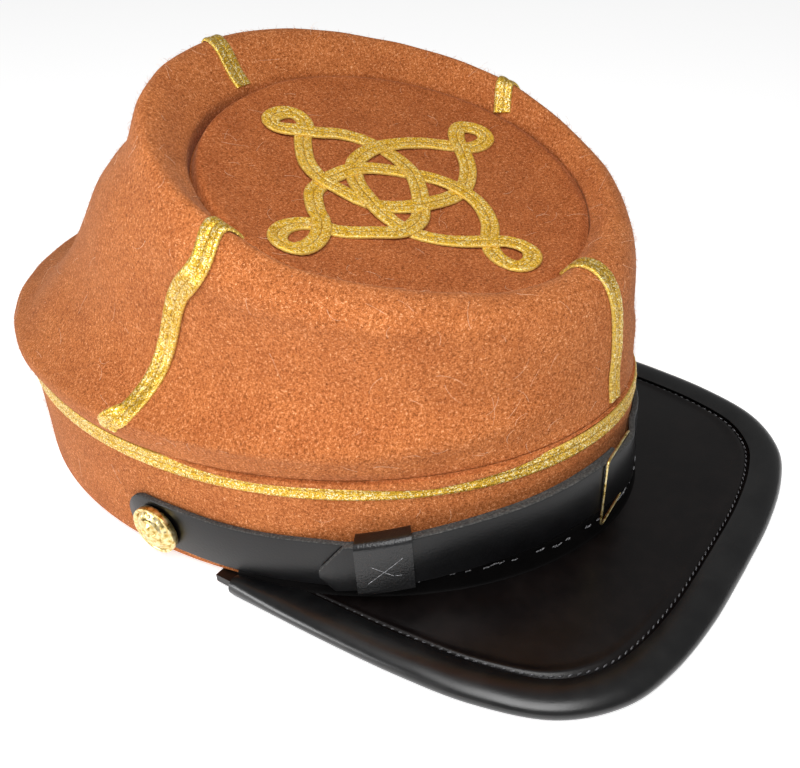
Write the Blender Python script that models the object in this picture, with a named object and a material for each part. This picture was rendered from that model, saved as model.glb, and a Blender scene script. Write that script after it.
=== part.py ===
"""Kepi cap: wool crown and band, gold braid, black leather chin strap and peak.

Metres, +Z up, the front of the cap towards -Y. The cap stands on the back of its band and on
the edge of its peak, with the origin on the table under the middle of its outline box.
"""
import math
from collections import namedtuple

import bmesh
import bpy
from mathutils import Matrix, Vector
from mathutils.geometry import delaunay_2d_cdt

MM = 0.001
GAP = 0.3 * MM

# Head band: an oval, level with the table at its back and rising to the front
BAND_CENTRE_Y = 18.95 * MM
BAND_HALF_WIDTH = 82.9 * MM
BAND_HALF_LENGTH = 109.3 * MM
BAND_TOP_HALF_WIDTH = 82.0 * MM
BAND_TOP_HALF_LENGTH = 106.9 * MM
BAND_HEIGHT = 36.0 * MM
BAND_RISE = math.tan(math.radians(1.68))
WOOL_THICKNESS = 2.0 * MM
AROUND = 64

# Crown: the side wall's oval sections from the band to the disc's seam, in mm.
# front_y and back_y are measured from the band's centre.
Section = namedtuple("Section", "front_y front_z back_y back_z half_width")
CROWN_SECTIONS = {
    "hem": Section(-106.2, 43.1, 107.0, 36.7, 83.0),
    "overhang": Section(-105.2, 47.0, 105.8, 47.7, 86.4),
    "pouch": Section(-104.7, 52.3, 90.4, 54.0, 86.6),
    "waist": Section(-104.9, 59.5, 79.4, 68.2, 76.2),
    "side": Section(-103.4, 72.4, 58.8, 94.0, 72.3),
    "shoulder": Section(-97.0, 83.3, 35.2, 108.8, 70.7),
    "crest": Section(-93.5, 81.0, 28.7, 122.7, 65.0),
    "seam": Section(-88.1, 76.4, 17.0, 111.1, 58.5),
}
CROWN_STEPS = 2
SEAM_ALLOWANCE = 2.2 * MM

# Crown disc: a shallow dish inside the seam
DISC_SAG = 4.8 * MM
DISC_EDGE_GAP = 1.2 * MM
DISC_RINGS = (1.0, 0.82, 0.5)

# Gold braid
BRAID_WIDTH = 5.4 * MM
BRAID_THICKNESS = 1.0 * MM
BRAID_FOOT_SHARE = 0.45
BRAID_TOP_SHARE = 0.3
BAND_BRAID_MIDDLE = 32.0 * MM
KNOT_STRAND_WIDTH = 5.6 * MM
KNOT_THICKNESS = 1.2 * MM
KNOT_CENTRE_Y = -34.3 * MM
KNOT_LOOP_RADIUS = 5.4 * MM
KNOT_LOOP_SIDES = 15
KNOT_GAP = 0.45 * MM
KNOT_WELD = 0.02

# The knot's four strands, in mm on the disc: x to the wearer's left, y to the back.
# Each runs from the neck of one loop, round the far side of the middle, to the next.
KNOT_STRANDS = (
    ((33.0, -1.0), (28.5, -5.8), (22.0, -10.6), (15.0, -12.9), (7.0, -12.6), (-1.0, -10.2),
     (-7.6, -6.2), (-12.8, -1.0), (-15.6, 4.5), (-16.9, 11.0), (-15.6, 18.4), (-11.6, 25.2),
     (-6.0, 30.3), (-0.6, 33.4)),
    ((0.6, 33.4), (7.2, 29.4), (11.8, 23.4), (13.9, 16.6), (13.6, 9.4), (11.2, 2.2),
     (6.2, -4.0), (-0.4, -8.6), (-7.0, -12.4), (-13.2, -15.6), (-19.4, -13.2), (-25.6, -7.9),
     (-31.6, -1.6)),
    ((-31.6, 1.6), (-27.4, 7.2), (-20.8, 12.2), (-13.4, 14.5), (-4.4, 12.6), (2.6, 8.4),
     (7.8, 3.4), (12.0, -1.4), (15.2, -7.6), (15.8, -14.4), (13.0, -21.2), (7.6, -26.8),
     (1.0, -31.6)),
    ((-1.0, -31.6), (-6.8, -27.4), (-11.8, -21.8), (-15.2, -15.0), (-15.8, -7.4), (-13.2, 0.6),
     (-9.4, 7.2), (-4.6, 13.0), (2.4, 16.3), (10.6, 16.6), (19.0, 15.6), (27.0, 10.4),
     (33.0, 3.0)),
)
KNOT_LOOP_CENTRES = ((41.6, 1.4), (0.4, 41.2), (-40.6, 0.2), (0.6, -40.2))

# Leather chin strap in two lengths that overlap between the keeper and the buckle
STRAP_WIDTH = 15.2 * MM
STRAP_THICKNESS = 2.0 * MM
STRAP_BUTTON_ANGLE = 186.4
STRAP_END_ANGLE = 180.9
# Height of the strap's middle above the band's lower edge, in mm, against the angle round
# the band's oval in degrees: 180 is the wearer's right, 270 the front
STRAP_HEIGHTS = (
    (180.0, 12.6), (188.0, 11.9), (197.0, 10.6), (205.0, 10.3), (213.0, 11.5), (221.0, 13.9),
    (229.0, 15.7), (237.0, 16.9), (248.0, 17.6), (270.0, 18.0),
)
# How far the strap's inner face stands off the band, in mm, against the same angle
STRAP_STANDOFFS = (
    (180.0, 0.3), (206.0, 0.3), (216.0, 1.9), (227.0, 1.9), (240.0, 1.2), (252.0, 0.9), (270.0, 0.9),
)
# The pointed end of the left length: angle, lower and upper edge as shares of the width
TONGUE_ROWS = ((212.4, -0.2, -0.04), (214.6, -0.5, 0.27), (216.4, -0.5, 0.5))
RIGHT_LENGTH_END_ANGLE = 265.8
UNDERLAP_START_ANGLE = 269.0
UNDERLAP_END_ANGLE = 277.0
STRAP_STEP_ANGLE = 4.0
BUCKLE_LEFT_X = -18.0 * MM
BUCKLE_RIGHT_X = -4.0 * MM
BUCKLE_BOTTOM = 9.2 * MM
BUCKLE_TOP = 30.6 * MM
BUCKLE_WIRE_RADIUS = 0.65 * MM
BUCKLE_CORNER_RADIUS = 2.2 * MM
BUCKLE_FAR_BAR_LOW = 1.9 * MM
BUCKLE_FAR_BAR_HIGH = 2.5 * MM

# Strap keeper
KEEPER_START_ANGLE = 217.1
KEEPER_END_ANGLE = 225.4
KEEPER_THICKNESS = 1.3 * MM

# Side buttons
BUTTON_RADIUS = 7.5 * MM
BUTTON_HEIGHT = 12.6 * MM
BUTTON_RIM_DEPTH = 1.8 * MM
BUTTON_RIM_RAISE = 0.5 * MM
BUTTON_DOME_DEPTH = 2.4 * MM
SHANK_RADIUS = 1.2 * MM
SHANK_LENGTH = 7.4 * MM
BUTTON_SIDES = 24

# Peak: outline from the rear corner to the middle of the front, in mm from the band's centre
PeakRow = namedtuple("PeakRow", "half_width y")
PEAK_OUTLINE = (
    PeakRow(84.4, -31.5), PeakRow(83.4, -46.0), PeakRow(82.0, -66.0), PeakRow(80.2, -88.0),
    PeakRow(77.0, -108.0), PeakRow(70.0, -126.5), PeakRow(57.5, -138.6), PeakRow(42.0, -144.2),
    PeakRow(22.0, -146.8), PeakRow(0.0, -147.2),
)
PEAK_STEPS = 2
PEAK_THICKNESS = 2.4 * MM
PEAK_INSET = 1.8 * MM
PEAK_REAR_ANGLE = 195.0
PEAK_TAB = 3.0 * MM
BINDING_WIDTH = 11.6 * MM
BINDING_HEIGHT = 5.6 * MM
# The folded binding's section: share of the width in from the edge, share of half the height
BINDING_OUTER = (
    (1.0, 0.8), (0.72, 0.93), (0.43, 1.0), (0.19, 0.86), (0.05, 0.5), (0.0, 0.0),
    (0.05, -0.5), (0.19, -0.86), (0.43, -1.0), (0.72, -0.93), (1.0, -0.8),
)


def clear_scene():
    """Remove every object, so that the script can be run again."""
    for scene_object in list(bpy.data.objects):
        bpy.data.objects.remove(scene_object, do_unlink=True)


def make_material(name, colour, roughness, metallic=0.0):
    """A plain Principled material."""
    material = bpy.data.materials.new(name)
    material.use_nodes = True
    shader = material.node_tree.nodes["Principled BSDF"]
    shader.inputs["Base Color"].default_value = (*colour, 1.0)
    shader.inputs["Roughness"].default_value = roughness
    shader.inputs["Metallic"].default_value = metallic
    return material


def add_object(name, bm, material, sharp_degrees=40.0):
    """Turn a bmesh into a smooth-shaded object of its own."""
    bmesh.ops.recalc_face_normals(bm, faces=bm.faces)
    mesh = bpy.data.meshes.new(name)
    bm.to_mesh(mesh)
    bm.free()
    mesh.shade_smooth()
    mesh.set_sharp_from_angle(angle=math.radians(sharp_degrees))
    mesh.materials.append(material)
    scene_object = bpy.data.objects.new(name, mesh)
    bpy.context.scene.collection.objects.link(scene_object)
    return scene_object


def add_solidify(scene_object, thickness, offset):
    """Give an open surface its cloth or leather thickness."""
    solidify = scene_object.modifiers.new("thickness", "SOLIDIFY")
    solidify.thickness = thickness
    solidify.offset = offset
    solidify.use_even_offset = True
    solidify.use_rim = True
    return solidify


def smooth_rows(rows, steps):
    """Points of a smooth curve through rows of numbers, with `steps` points to each interval."""
    dense = []
    last = len(rows) - 1
    for index in range(last):
        start, end = rows[index], rows[index + 1]
        before = rows[index - 1] if index else start
        after = rows[index + 2] if index + 2 <= last else end
        start_share = 0.5 if index else 1.0
        end_share = 0.5 if index + 2 <= last else 1.0
        for step in range(steps):
            t = step / steps
            weight_start = 2 * t ** 3 - 3 * t ** 2 + 1
            weight_end = 3 * t ** 2 - 2 * t ** 3
            slope_start = (t ** 3 - 2 * t ** 2 + t) * start_share
            slope_end = (t ** 3 - t ** 2) * end_share
            dense.append(tuple(
                weight_start * s + weight_end * e + slope_start * (e - b) + slope_end * (a - s)
                for b, s, e, a in zip(before, start, end, after)
            ))
    dense.append(tuple(rows[last]))
    return dense


def interpolate(table, value):
    """Read a table of (key, number) rows at a key, along a smooth curve."""
    dense = smooth_rows(table, 8)
    if value <= dense[0][0]:
        return dense[0][1]
    for (low, low_number), (high, high_number) in zip(dense, dense[1:]):
        if value <= high:
            share = (value - low) / (high - low)
            return low_number + share * (high_number - low_number)
    return dense[-1][1]


def band_lift(y):
    """Height above the table of the band's lower edge, y from the band's centre."""
    return BAND_RISE * (BAND_HALF_LENGTH - y)


def band_point(angle, outward, height):
    """A point beside the band: degrees round its oval, distance outwards, height above its
    lower edge."""
    share = height / BAND_HEIGHT
    half_width = BAND_HALF_WIDTH + share * (BAND_TOP_HALF_WIDTH - BAND_HALF_WIDTH)
    half_length = BAND_HALF_LENGTH + share * (BAND_TOP_HALF_LENGTH - BAND_HALF_LENGTH)
    cosine, sine = math.cos(math.radians(angle)), math.sin(math.radians(angle))
    normal = Vector((cosine / half_width, sine / half_length, 0.0)).normalized()
    y = half_length * sine + normal.y * outward
    x = half_width * cosine + normal.x * outward
    return Vector((x, BAND_CENTRE_Y + y, height + band_lift(y)))


def section_loop(section, inset=0.0, drop=0.0):
    """One oval of the crown, from a row in mm."""
    half_width = section.half_width * MM - inset
    middle_y = (section.front_y + section.back_y) / 2 * MM
    reach_y = (section.back_y - section.front_y) / 2 * MM
    middle_z = (section.front_z + section.back_z) / 2 * MM
    rise_z = (section.back_z - section.front_z) / 2 * MM
    share = (reach_y - inset) / reach_y
    points = []
    for step in range(AROUND):
        angle = 2 * math.pi * step / AROUND
        sine = math.sin(angle) * share
        points.append(Vector((
            half_width * math.cos(angle),
            BAND_CENTRE_Y + middle_y + reach_y * sine,
            middle_z + rise_z * sine - drop,
        )))
    return points


def add_loop(bm, points, closed=True):
    """Add a loop or an open chain of edges and return its edges."""
    verts = [bm.verts.new(point) for point in points]
    pairs = list(zip(verts, verts[1:]))
    if closed:
        pairs.append((verts[-1], verts[0]))
    return [bm.edges.new(pair) for pair in pairs]


def loft(loops, closed=True, around=False):
    """Bridge loops of points one after another; `around` also joins the last to the first."""
    bm = bmesh.new()
    rings = [add_loop(bm, points, closed) for points in loops]
    pairs = list(zip(rings, rings[1:]))
    if around:
        pairs.append((rings[-1], rings[0]))
    for near, far in pairs:
        bmesh.ops.bridge_loops(bm, edges=near + far)
    return bm


def capped_loft(loops):
    """Bridge closed sections along a path and close both ends."""
    bm = loft(loops)
    bmesh.ops.holes_fill(bm, edges=[edge for edge in bm.edges if edge.is_boundary], sides=0)
    return bm


def crown_rows():
    """The crown's sections with the smooth ones between them."""
    rows = smooth_rows(list(CROWN_SECTIONS.values()), CROWN_STEPS)
    return [Section(*row) for row in rows]


def build_band(wool):
    """The upright wool band round the head."""
    angles = [360.0 * step / AROUND for step in range(AROUND)]
    corners = ((0.0, 0.0), (0.0, BAND_HEIGHT), (-WOOL_THICKNESS, BAND_HEIGHT), (-WOOL_THICKNESS, 0.0))
    loops = [[band_point(angle, *corner) for angle in angles] for corner in corners]
    return add_object("band", loft(loops, around=True), wool)


def build_crown(wool):
    """The side wall, from the band over the rolled rim and down to the disc's seam."""
    loops = [section_loop(row) for row in crown_rows()]
    loops.append(section_loop(CROWN_SECTIONS["seam"], drop=SEAM_ALLOWANCE))
    crown = add_object("crown", loft(loops), wool)
    add_solidify(crown, WOOL_THICKNESS, -1.0)
    return crown


def disc_sag(share):
    """How far the dish lies below its edge's plane, at a share of its radius."""
    return DISC_SAG * (1.0 - share ** 4)


def disc_height(x, y):
    """Height of the disc's upper face at a point in the row's frame."""
    seam = CROWN_SECTIONS["seam"]
    middle_y = (seam.front_y + seam.back_y) / 2 * MM
    reach_y = (seam.back_y - seam.front_y) / 2 * MM
    slope = (seam.back_z - seam.front_z) / (seam.back_y - seam.front_y)
    offset_y = y - BAND_CENTRE_Y - middle_y
    share = math.hypot(
        x / (seam.half_width * MM - DISC_EDGE_GAP),
        offset_y / (reach_y - DISC_EDGE_GAP),
    )
    plane = (seam.front_z + seam.back_z) / 2 * MM + slope * offset_y
    return plane - disc_sag(min(share, 1.0))


def build_crown_top(wool):
    """The round wool disc set inside the rolled rim."""
    seam = CROWN_SECTIONS["seam"]
    edge = section_loop(seam, inset=DISC_EDGE_GAP)
    middle = sum(edge, Vector()) / len(edge)
    edge_radius = (edge[0] - middle).length
    loops = []
    for share in DISC_RINGS:
        ring = [middle + (point - middle) * share for point in edge]
        loops.append([point - Vector((0.0, 0.0, disc_sag(share))) for point in ring])
    bm = loft(loops)
    inner = [edge for edge in bm.edges if edge.is_boundary
             and (edge.verts[0].co - middle).length < edge_radius * 0.6]
    centre = bmesh.ops.extrude_edge_only(bm, edges=inner)["geom"]
    bmesh.ops.pointmerge(
        bm,
        verts=[item for item in centre if isinstance(item, bmesh.types.BMVert)],
        merge_co=middle - Vector((0.0, 0.0, DISC_SAG)),
    )
    disc = add_object("crown_top", bm, wool)
    add_solidify(disc, WOOL_THICKNESS, -1.0)
    return disc


def build_band_braid(gold):
    """The gold braid round the top of the band."""
    low = BAND_BRAID_MIDDLE - BRAID_WIDTH / 2
    high = BAND_BRAID_MIDDLE + BRAID_WIDTH / 2
    corners = ((GAP, low), (GAP + BRAID_THICKNESS, low), (GAP + BRAID_THICKNESS, high), (GAP, high))
    loops = []
    for step in range(AROUND):
        angle = 360.0 * step / AROUND
        loops.append([band_point(angle, outward, height) for outward, height in corners])
    return add_object("band_braid", loft(loops, around=True), gold)


def build_wall_braid(name, quarter, gold):
    """An upright braid on the crown: quarter 0 is the wearer's left, 1 the back, and so on."""
    meridian = quarter * AROUND // 4
    ovals = [section_loop(row) for row in crown_rows()]
    ovals[0] = [low.lerp(high, BRAID_FOOT_SHARE) for low, high in zip(ovals[0], ovals[1])]
    ovals[-1] = [low.lerp(high, BRAID_TOP_SHARE) for low, high in zip(ovals[-1], ovals[-2])]
    loops = []
    for index, oval in enumerate(ovals):
        ahead = ovals[min(index + 1, len(ovals) - 1)][meridian]
        behind = ovals[max(index - 1, 0)][meridian]
        around = (oval[(meridian + 1) % AROUND] - oval[meridian - 1]).normalized()
        normal = around.cross(ahead - behind).normalized()
        inner = oval[meridian] + normal * GAP
        outer = inner + normal * BRAID_THICKNESS
        side = around * BRAID_WIDTH / 2
        loops.append([inner - side, inner + side, outer + side, outer - side])
    return add_object(name, capped_loft(loops), gold)


def knot_point(x, y):
    """A point of the disc's upper face, from mm in the disc's own plane."""
    seam = CROWN_SECTIONS["seam"]
    tilt = math.atan2(seam.back_z - seam.front_z, seam.back_y - seam.front_y)
    row_y = BAND_CENTRE_Y + KNOT_CENTRE_Y + y * MM * math.cos(tilt)
    return Vector((x * MM, row_y, disc_height(x * MM, row_y)))


def ribbon_faces(points, width, verts, faces, closed=False):
    """Add the quads of a flat ribbon along 2D points to `verts` and `faces`."""
    start = len(verts)
    count = len(points)
    for index, point in enumerate(points):
        if closed:
            ahead, behind = points[(index + 1) % count], points[index - 1]
        else:
            ahead, behind = points[min(index + 1, count - 1)], points[max(index - 1, 0)]
        along = (ahead - behind).normalized()
        side = Vector((-along.y, along.x)) * width / 2
        verts.extend((point - side, point + side))
    for index in range(count if closed else count - 1):
        near = start + 2 * index
        far = start + 2 * ((index + 1) % count)
        faces.append((near, far, far + 1, near + 1))


def build_crown_knot(gold):
    """The flat knot of braid: four strands and four loops, joined where they cross."""
    width = KNOT_STRAND_WIDTH / MM
    verts, faces = [], []
    for strand in KNOT_STRANDS:
        ribbon_faces([Vector(point) for point in smooth_rows(strand, 2)], width, verts, faces)
    for centre_x, centre_y in KNOT_LOOP_CENTRES:
        circle = []
        for step in range(KNOT_LOOP_SIDES):
            angle = 2 * math.pi * step / KNOT_LOOP_SIDES
            radius = KNOT_LOOP_RADIUS / MM
            circle.append(Vector((centre_x + radius * math.cos(angle),
                                  centre_y + radius * math.sin(angle))))
        ribbon_faces(circle, width, verts, faces, closed=True)
    flat, _, pieces, _, _, sources = delaunay_2d_cdt(verts, [], faces, 3, KNOT_WELD, True)
    bm = bmesh.new()
    lift = Vector((0.0, 0.0, KNOT_GAP + KNOT_THICKNESS))
    corners = [bm.verts.new(knot_point(*point) + lift) for point in flat]
    for piece, source in zip(pieces, sources):
        if source:
            bm.faces.new([corners[index] for index in piece])
    bmesh.ops.delete(bm, geom=[vert for vert in bm.verts if not vert.link_faces], context="VERTS")
    knot = add_object("crown_knot", bm, gold)
    add_solidify(knot, KNOT_THICKNESS, -1.0)
    return knot


def strap_middle(angle):
    """Height of the strap's middle above the band's lower edge, alike on both sides."""
    return interpolate(STRAP_HEIGHTS, min(angle, 540.0 - angle)) * MM


def strap_standoff(angle):
    """Distance from the band to the strap's inner face."""
    return interpolate(STRAP_STANDOFFS, min(angle, 540.0 - angle)) * MM


def ribbon_section(angle, outward, low, high):
    """The four corners of a strap's cross-section beside the band."""
    return [
        band_point(angle, outward, low),
        band_point(angle, outward + STRAP_THICKNESS, low),
        band_point(angle, outward + STRAP_THICKNESS, high),
        band_point(angle, outward, high),
    ]


def round_end_angles():
    """Angles from a strap's round end to its full width, with the width's share at each."""
    radius_angle = math.degrees(STRAP_WIDTH / 2 / BAND_HALF_LENGTH)
    rows = []
    for turn in (12.0, 34.0, 56.0, 90.0):
        along = 1.0 - math.cos(math.radians(turn))
        rows.append((STRAP_END_ANGLE + radius_angle * along, math.sin(math.radians(turn))))
    return rows


def stepped(start, end):
    """Even angles from start to end, both included."""
    count = max(1, round(abs(end - start) / STRAP_STEP_ANGLE))
    return [start + (end - start) * step / count for step in range(count + 1)]


def build_right_length(leather):
    """The length from the wearer's right button, under the other as far as the buckle."""
    loops = []
    rows = round_end_angles()
    rows += [(angle, 1.0) for angle in stepped(rows[-1][0], RIGHT_LENGTH_END_ANGLE)[1:]]
    for angle, share in rows:
        half = STRAP_WIDTH / 2 * share
        middle = strap_middle(angle)
        loops.append(ribbon_section(angle, strap_standoff(angle), middle - half, middle + half))
    return add_object("chin_strap_right", capped_loft(loops), leather)


def left_length_outward(angle):
    """The left length lies on the band, and climbs over the other length at the buckle."""
    climb = (UNDERLAP_END_ANGLE - angle) / (UNDERLAP_END_ANGLE - UNDERLAP_START_ANGLE)
    climb = min(max(climb, 0.0), 1.0)
    climb = climb * climb * (3.0 - 2.0 * climb)
    low = GAP
    high = strap_standoff(min(angle, 270.0)) + STRAP_THICKNESS + GAP
    return low + climb * (high - low)


def build_left_length(leather):
    """The length from the wearer's left button, through the buckle and keeper to its point."""
    loops = []
    tip, _, shoulder = TONGUE_ROWS
    for angle, low, high in TONGUE_ROWS:
        middle = strap_middle(angle)
        loops.append(ribbon_section(
            angle, left_length_outward(angle), middle + low * STRAP_WIDTH, middle + high * STRAP_WIDTH))
    ends = [(540.0 - angle, share) for angle, share in reversed(round_end_angles())]
    rows = [(angle, 1.0) for angle in stepped(shoulder[0], UNDERLAP_START_ANGLE)[1:]]
    rows += [(angle, 1.0) for angle in (271.5, 274.0, UNDERLAP_END_ANGLE)]
    rows += [(angle, 1.0) for angle in stepped(UNDERLAP_END_ANGLE, ends[0][0])[1:]]
    rows += ends[1:]
    for angle, share in rows:
        half = STRAP_WIDTH / 2 * share
        middle = strap_middle(angle)
        loops.append(ribbon_section(angle, left_length_outward(angle), middle - half, middle + half))
    return add_object("chin_strap_left", capped_loft(loops), leather)


def rounded_rectangle(low, high, radius, steps=2):
    """Corner-rounded rectangle between two 2D corners."""
    points = []
    corners = (
        (high[0] - radius, high[1] - radius, 0.0), (low[0] + radius, high[1] - radius, 90.0),
        (low[0] + radius, low[1] + radius, 180.0), (high[0] - radius, low[1] + radius, 270.0),
    )
    for centre_x, centre_y, start in corners:
        for step in range(steps + 1):
            angle = math.radians(start + 90.0 * step / steps)
            points.append((centre_x + radius * math.cos(angle), centre_y + radius * math.sin(angle)))
    return points


def build_keeper(leather):
    """The leather loop round both lengths of the strap."""
    loops = []
    margin = GAP + KEEPER_THICKNESS
    for angle in stepped(KEEPER_START_ANGLE, KEEPER_END_ANGLE):
        middle = strap_middle(angle)
        inner_side = strap_standoff(angle)
        outer_side = inner_side + 2 * STRAP_THICKNESS + GAP
        low = (inner_side - margin, middle - STRAP_WIDTH / 2 - margin)
        high = (outer_side + margin, middle + STRAP_WIDTH / 2 + margin)
        loops.append([band_point(angle, *corner) for corner in rounded_rectangle(low, high, margin)])
    keeper = add_object("strap_keeper", loft(loops), leather)
    add_solidify(keeper, KEEPER_THICKNESS, -1.0)
    return keeper


def angle_at(x):
    """Angle round the front of the band at a distance from its middle."""
    return 360.0 - math.degrees(math.acos(x / BAND_HALF_WIDTH))


def build_buckle(brass):
    """The thin brass frame: its near bar crosses both lengths, its far bar is between them."""
    near_angle, far_angle = angle_at(BUCKLE_LEFT_X), angle_at(BUCKLE_RIGHT_X)
    near_out = left_length_outward(near_angle) + STRAP_THICKNESS + GAP + BUCKLE_WIRE_RADIUS
    corners = (
        band_point(near_angle, near_out, BUCKLE_BOTTOM),
        band_point(far_angle, BUCKLE_FAR_BAR_LOW, BUCKLE_BOTTOM),
        band_point(far_angle, BUCKLE_FAR_BAR_HIGH, BUCKLE_TOP),
        band_point(near_angle, near_out, BUCKLE_TOP),
    )
    path = []
    for index, corner in enumerate(corners):
        before = (corners[index - 1] - corner).normalized()
        after = (corners[(index + 1) % 4] - corner).normalized()
        for share in (0.0, 0.5, 1.0):
            start, end = corner + before * BUCKLE_CORNER_RADIUS, corner + after * BUCKLE_CORNER_RADIUS
            bend = start.lerp(corner, share).lerp(corner.lerp(end, share), share)
            path.append(bend)
    curve = bpy.data.curves.new("strap_buckle", "CURVE")
    curve.dimensions = "3D"
    curve.bevel_depth = BUCKLE_WIRE_RADIUS
    curve.bevel_resolution = 2
    spline = curve.splines.new("POLY")
    spline.points.add(len(path) - 1)
    for point, place in zip(spline.points, path):
        point.co = (*place, 1.0)
    spline.use_cyclic_u = True
    curve.materials.append(brass)
    buckle = bpy.data.objects.new("strap_buckle", curve)
    bpy.context.scene.collection.objects.link(buckle)
    return buckle


def button_frame(angle):
    """Placement of a side button: its Z axis points out of the band."""
    middle = band_point(angle, 0.0, BUTTON_HEIGHT)
    outward = (band_point(angle, 1.0, BUTTON_HEIGHT) - middle).normalized()
    seat = middle + outward * (GAP + STRAP_THICKNESS + GAP)
    return Matrix.Translation(seat) @ outward.to_track_quat("Z", "Y").to_matrix().to_4x4()


def build_button(name, angle, brass):
    """A domed brass button with a raised rim and a shank through the strap and the band."""
    rim_top = BUTTON_RIM_DEPTH + BUTTON_RIM_RAISE
    profile = (
        (0.0, -SHANK_LENGTH), (SHANK_RADIUS, -SHANK_LENGTH), (SHANK_RADIUS, 0.0),
        (BUTTON_RADIUS * 0.9, 0.0), (BUTTON_RADIUS, BUTTON_RIM_DEPTH * 0.4),
        (BUTTON_RADIUS, BUTTON_RIM_DEPTH), (BUTTON_RADIUS * 0.95, rim_top),
        (BUTTON_RADIUS * 0.88, rim_top), (BUTTON_RADIUS * 0.83, BUTTON_RIM_DEPTH),
        (BUTTON_RADIUS * 0.6, BUTTON_RIM_DEPTH + BUTTON_DOME_DEPTH * 0.55),
        (BUTTON_RADIUS * 0.3, BUTTON_RIM_DEPTH + BUTTON_DOME_DEPTH * 0.9),
        (0.0, BUTTON_RIM_DEPTH + BUTTON_DOME_DEPTH),
    )
    bm = bmesh.new()
    edges = add_loop(bm, [(radius, 0.0, height) for radius, height in profile], closed=False)
    bmesh.ops.spin(
        bm,
        geom=list({vert for edge in edges for vert in edge.verts}) + edges,
        cent=(0.0, 0.0, 0.0),
        axis=(0.0, 0.0, 1.0),
        angle=math.tau,
        steps=BUTTON_SIDES,
        use_merge=True,
    )
    bmesh.ops.remove_doubles(bm, verts=bm.verts, dist=0.01 * MM)
    button = add_object(name, bm, brass)
    button.matrix_world = button_frame(angle)
    return button


def drill(scene_object, angle, name):
    """Cut a shank hole through a strap or the band."""
    bm = bmesh.new()
    bmesh.ops.create_cone(
        bm,
        cap_ends=True,
        segments=16,
        radius1=SHANK_RADIUS + GAP,
        radius2=SHANK_RADIUS + GAP,
        depth=4 * SHANK_LENGTH,
    )
    mesh = bpy.data.meshes.new(name)
    bm.to_mesh(mesh)
    bm.free()
    cutter = bpy.data.objects.new(name, mesh)
    cutter.matrix_world = button_frame(angle)
    cutter.hide_render = True
    cutter.display_type = "WIRE"
    bpy.context.scene.collection.objects.link(cutter)
    cut = scene_object.modifiers.new(name, "BOOLEAN")
    cut.operation = "DIFFERENCE"
    cut.solver = "EXACT"
    cut.object = cutter


def peak_outline():
    """The peak's outer edge, from the wearer's right rear corner round to the left one."""
    half = smooth_rows([tuple(row) for row in PEAK_OUTLINE], PEAK_STEPS)
    right = [Vector((-x * MM, y * MM)) for x, y in half]
    left = [Vector((x * MM, y * MM)) for x, y in reversed(half[:-1])]
    return right + left


def inward_normals(points):
    """Unit normals into the peak at each point of its outline."""
    normals = []
    for index in range(len(points)):
        along = points[min(index + 1, len(points) - 1)] - points[max(index - 1, 0)]
        along.normalize()
        normals.append(Vector((-along.y, along.x)))
    return normals


def binding_width(point):
    """Width of the binding at a point of the outline: it narrows where the band is close."""
    nearest = min(
        math.hypot(point.x - BAND_HALF_WIDTH * math.cos(math.radians(angle)),
                   point.y - BAND_HALF_LENGTH * math.sin(math.radians(angle)))
        for angle in range(180, 361, 2)
    )
    return min(BINDING_WIDTH, nearest - 2 * GAP)


def place_on_peak(point, height):
    """A point of the peak in the row's frame."""
    return Vector((point.x, BAND_CENTRE_Y + point.y, height))


def build_peak(leather):
    """The leather plate: flat in the binding, rising to lie under the band's lower edge."""
    outline = peak_outline()
    normals = inward_normals(outline)
    last = len(outline) - 1
    middle = BINDING_HEIGHT / 2
    outer, lip, rear = [], [], []
    for index, (point, normal) in enumerate(zip(outline, normals)):
        edge = point + normal * PEAK_INSET
        turn = point + normal * (binding_width(point) + GAP)
        if index in (0, last):
            edge.y += PEAK_TAB
            turn.y += PEAK_TAB
        angle = PEAK_REAR_ANGLE + (360.0 - 2 * (PEAK_REAR_ANGLE - 180.0) - 180.0) * index / last
        seat = band_point(angle, -WOOL_THICKNESS, 0.0)
        seat.z -= GAP + PEAK_THICKNESS / 2
        outer.append(place_on_peak(edge, middle))
        lip.append(place_on_peak(turn, middle))
        rear.append(seat)
    halfway = [near.lerp(far, 0.5) for near, far in zip(lip, rear)]
    peak = add_object("peak", loft((outer, lip, halfway, rear), closed=False), leather)
    add_solidify(peak, PEAK_THICKNESS, 0.0)
    return peak


def build_binding(leather):
    """The leather folded round the peak's edge."""
    outline = peak_outline()
    normals = inward_normals(outline)
    half_height = BINDING_HEIGHT / 2
    slot = PEAK_THICKNESS / 2 + GAP
    loops = []
    for point, normal in zip(outline, normals):
        width = binding_width(point)
        section = [(share * width, rise * half_height) for share, rise in BINDING_OUTER]
        section += [(width, -slot), (PEAK_INSET - GAP, -slot), (PEAK_INSET - GAP, slot), (width, slot)]
        loops.append([
            place_on_peak(point + normal * inward, half_height + height) for inward, height in section
        ])
    return add_object("peak_binding", capped_loft(loops), leather, sharp_degrees=60.0)


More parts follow.
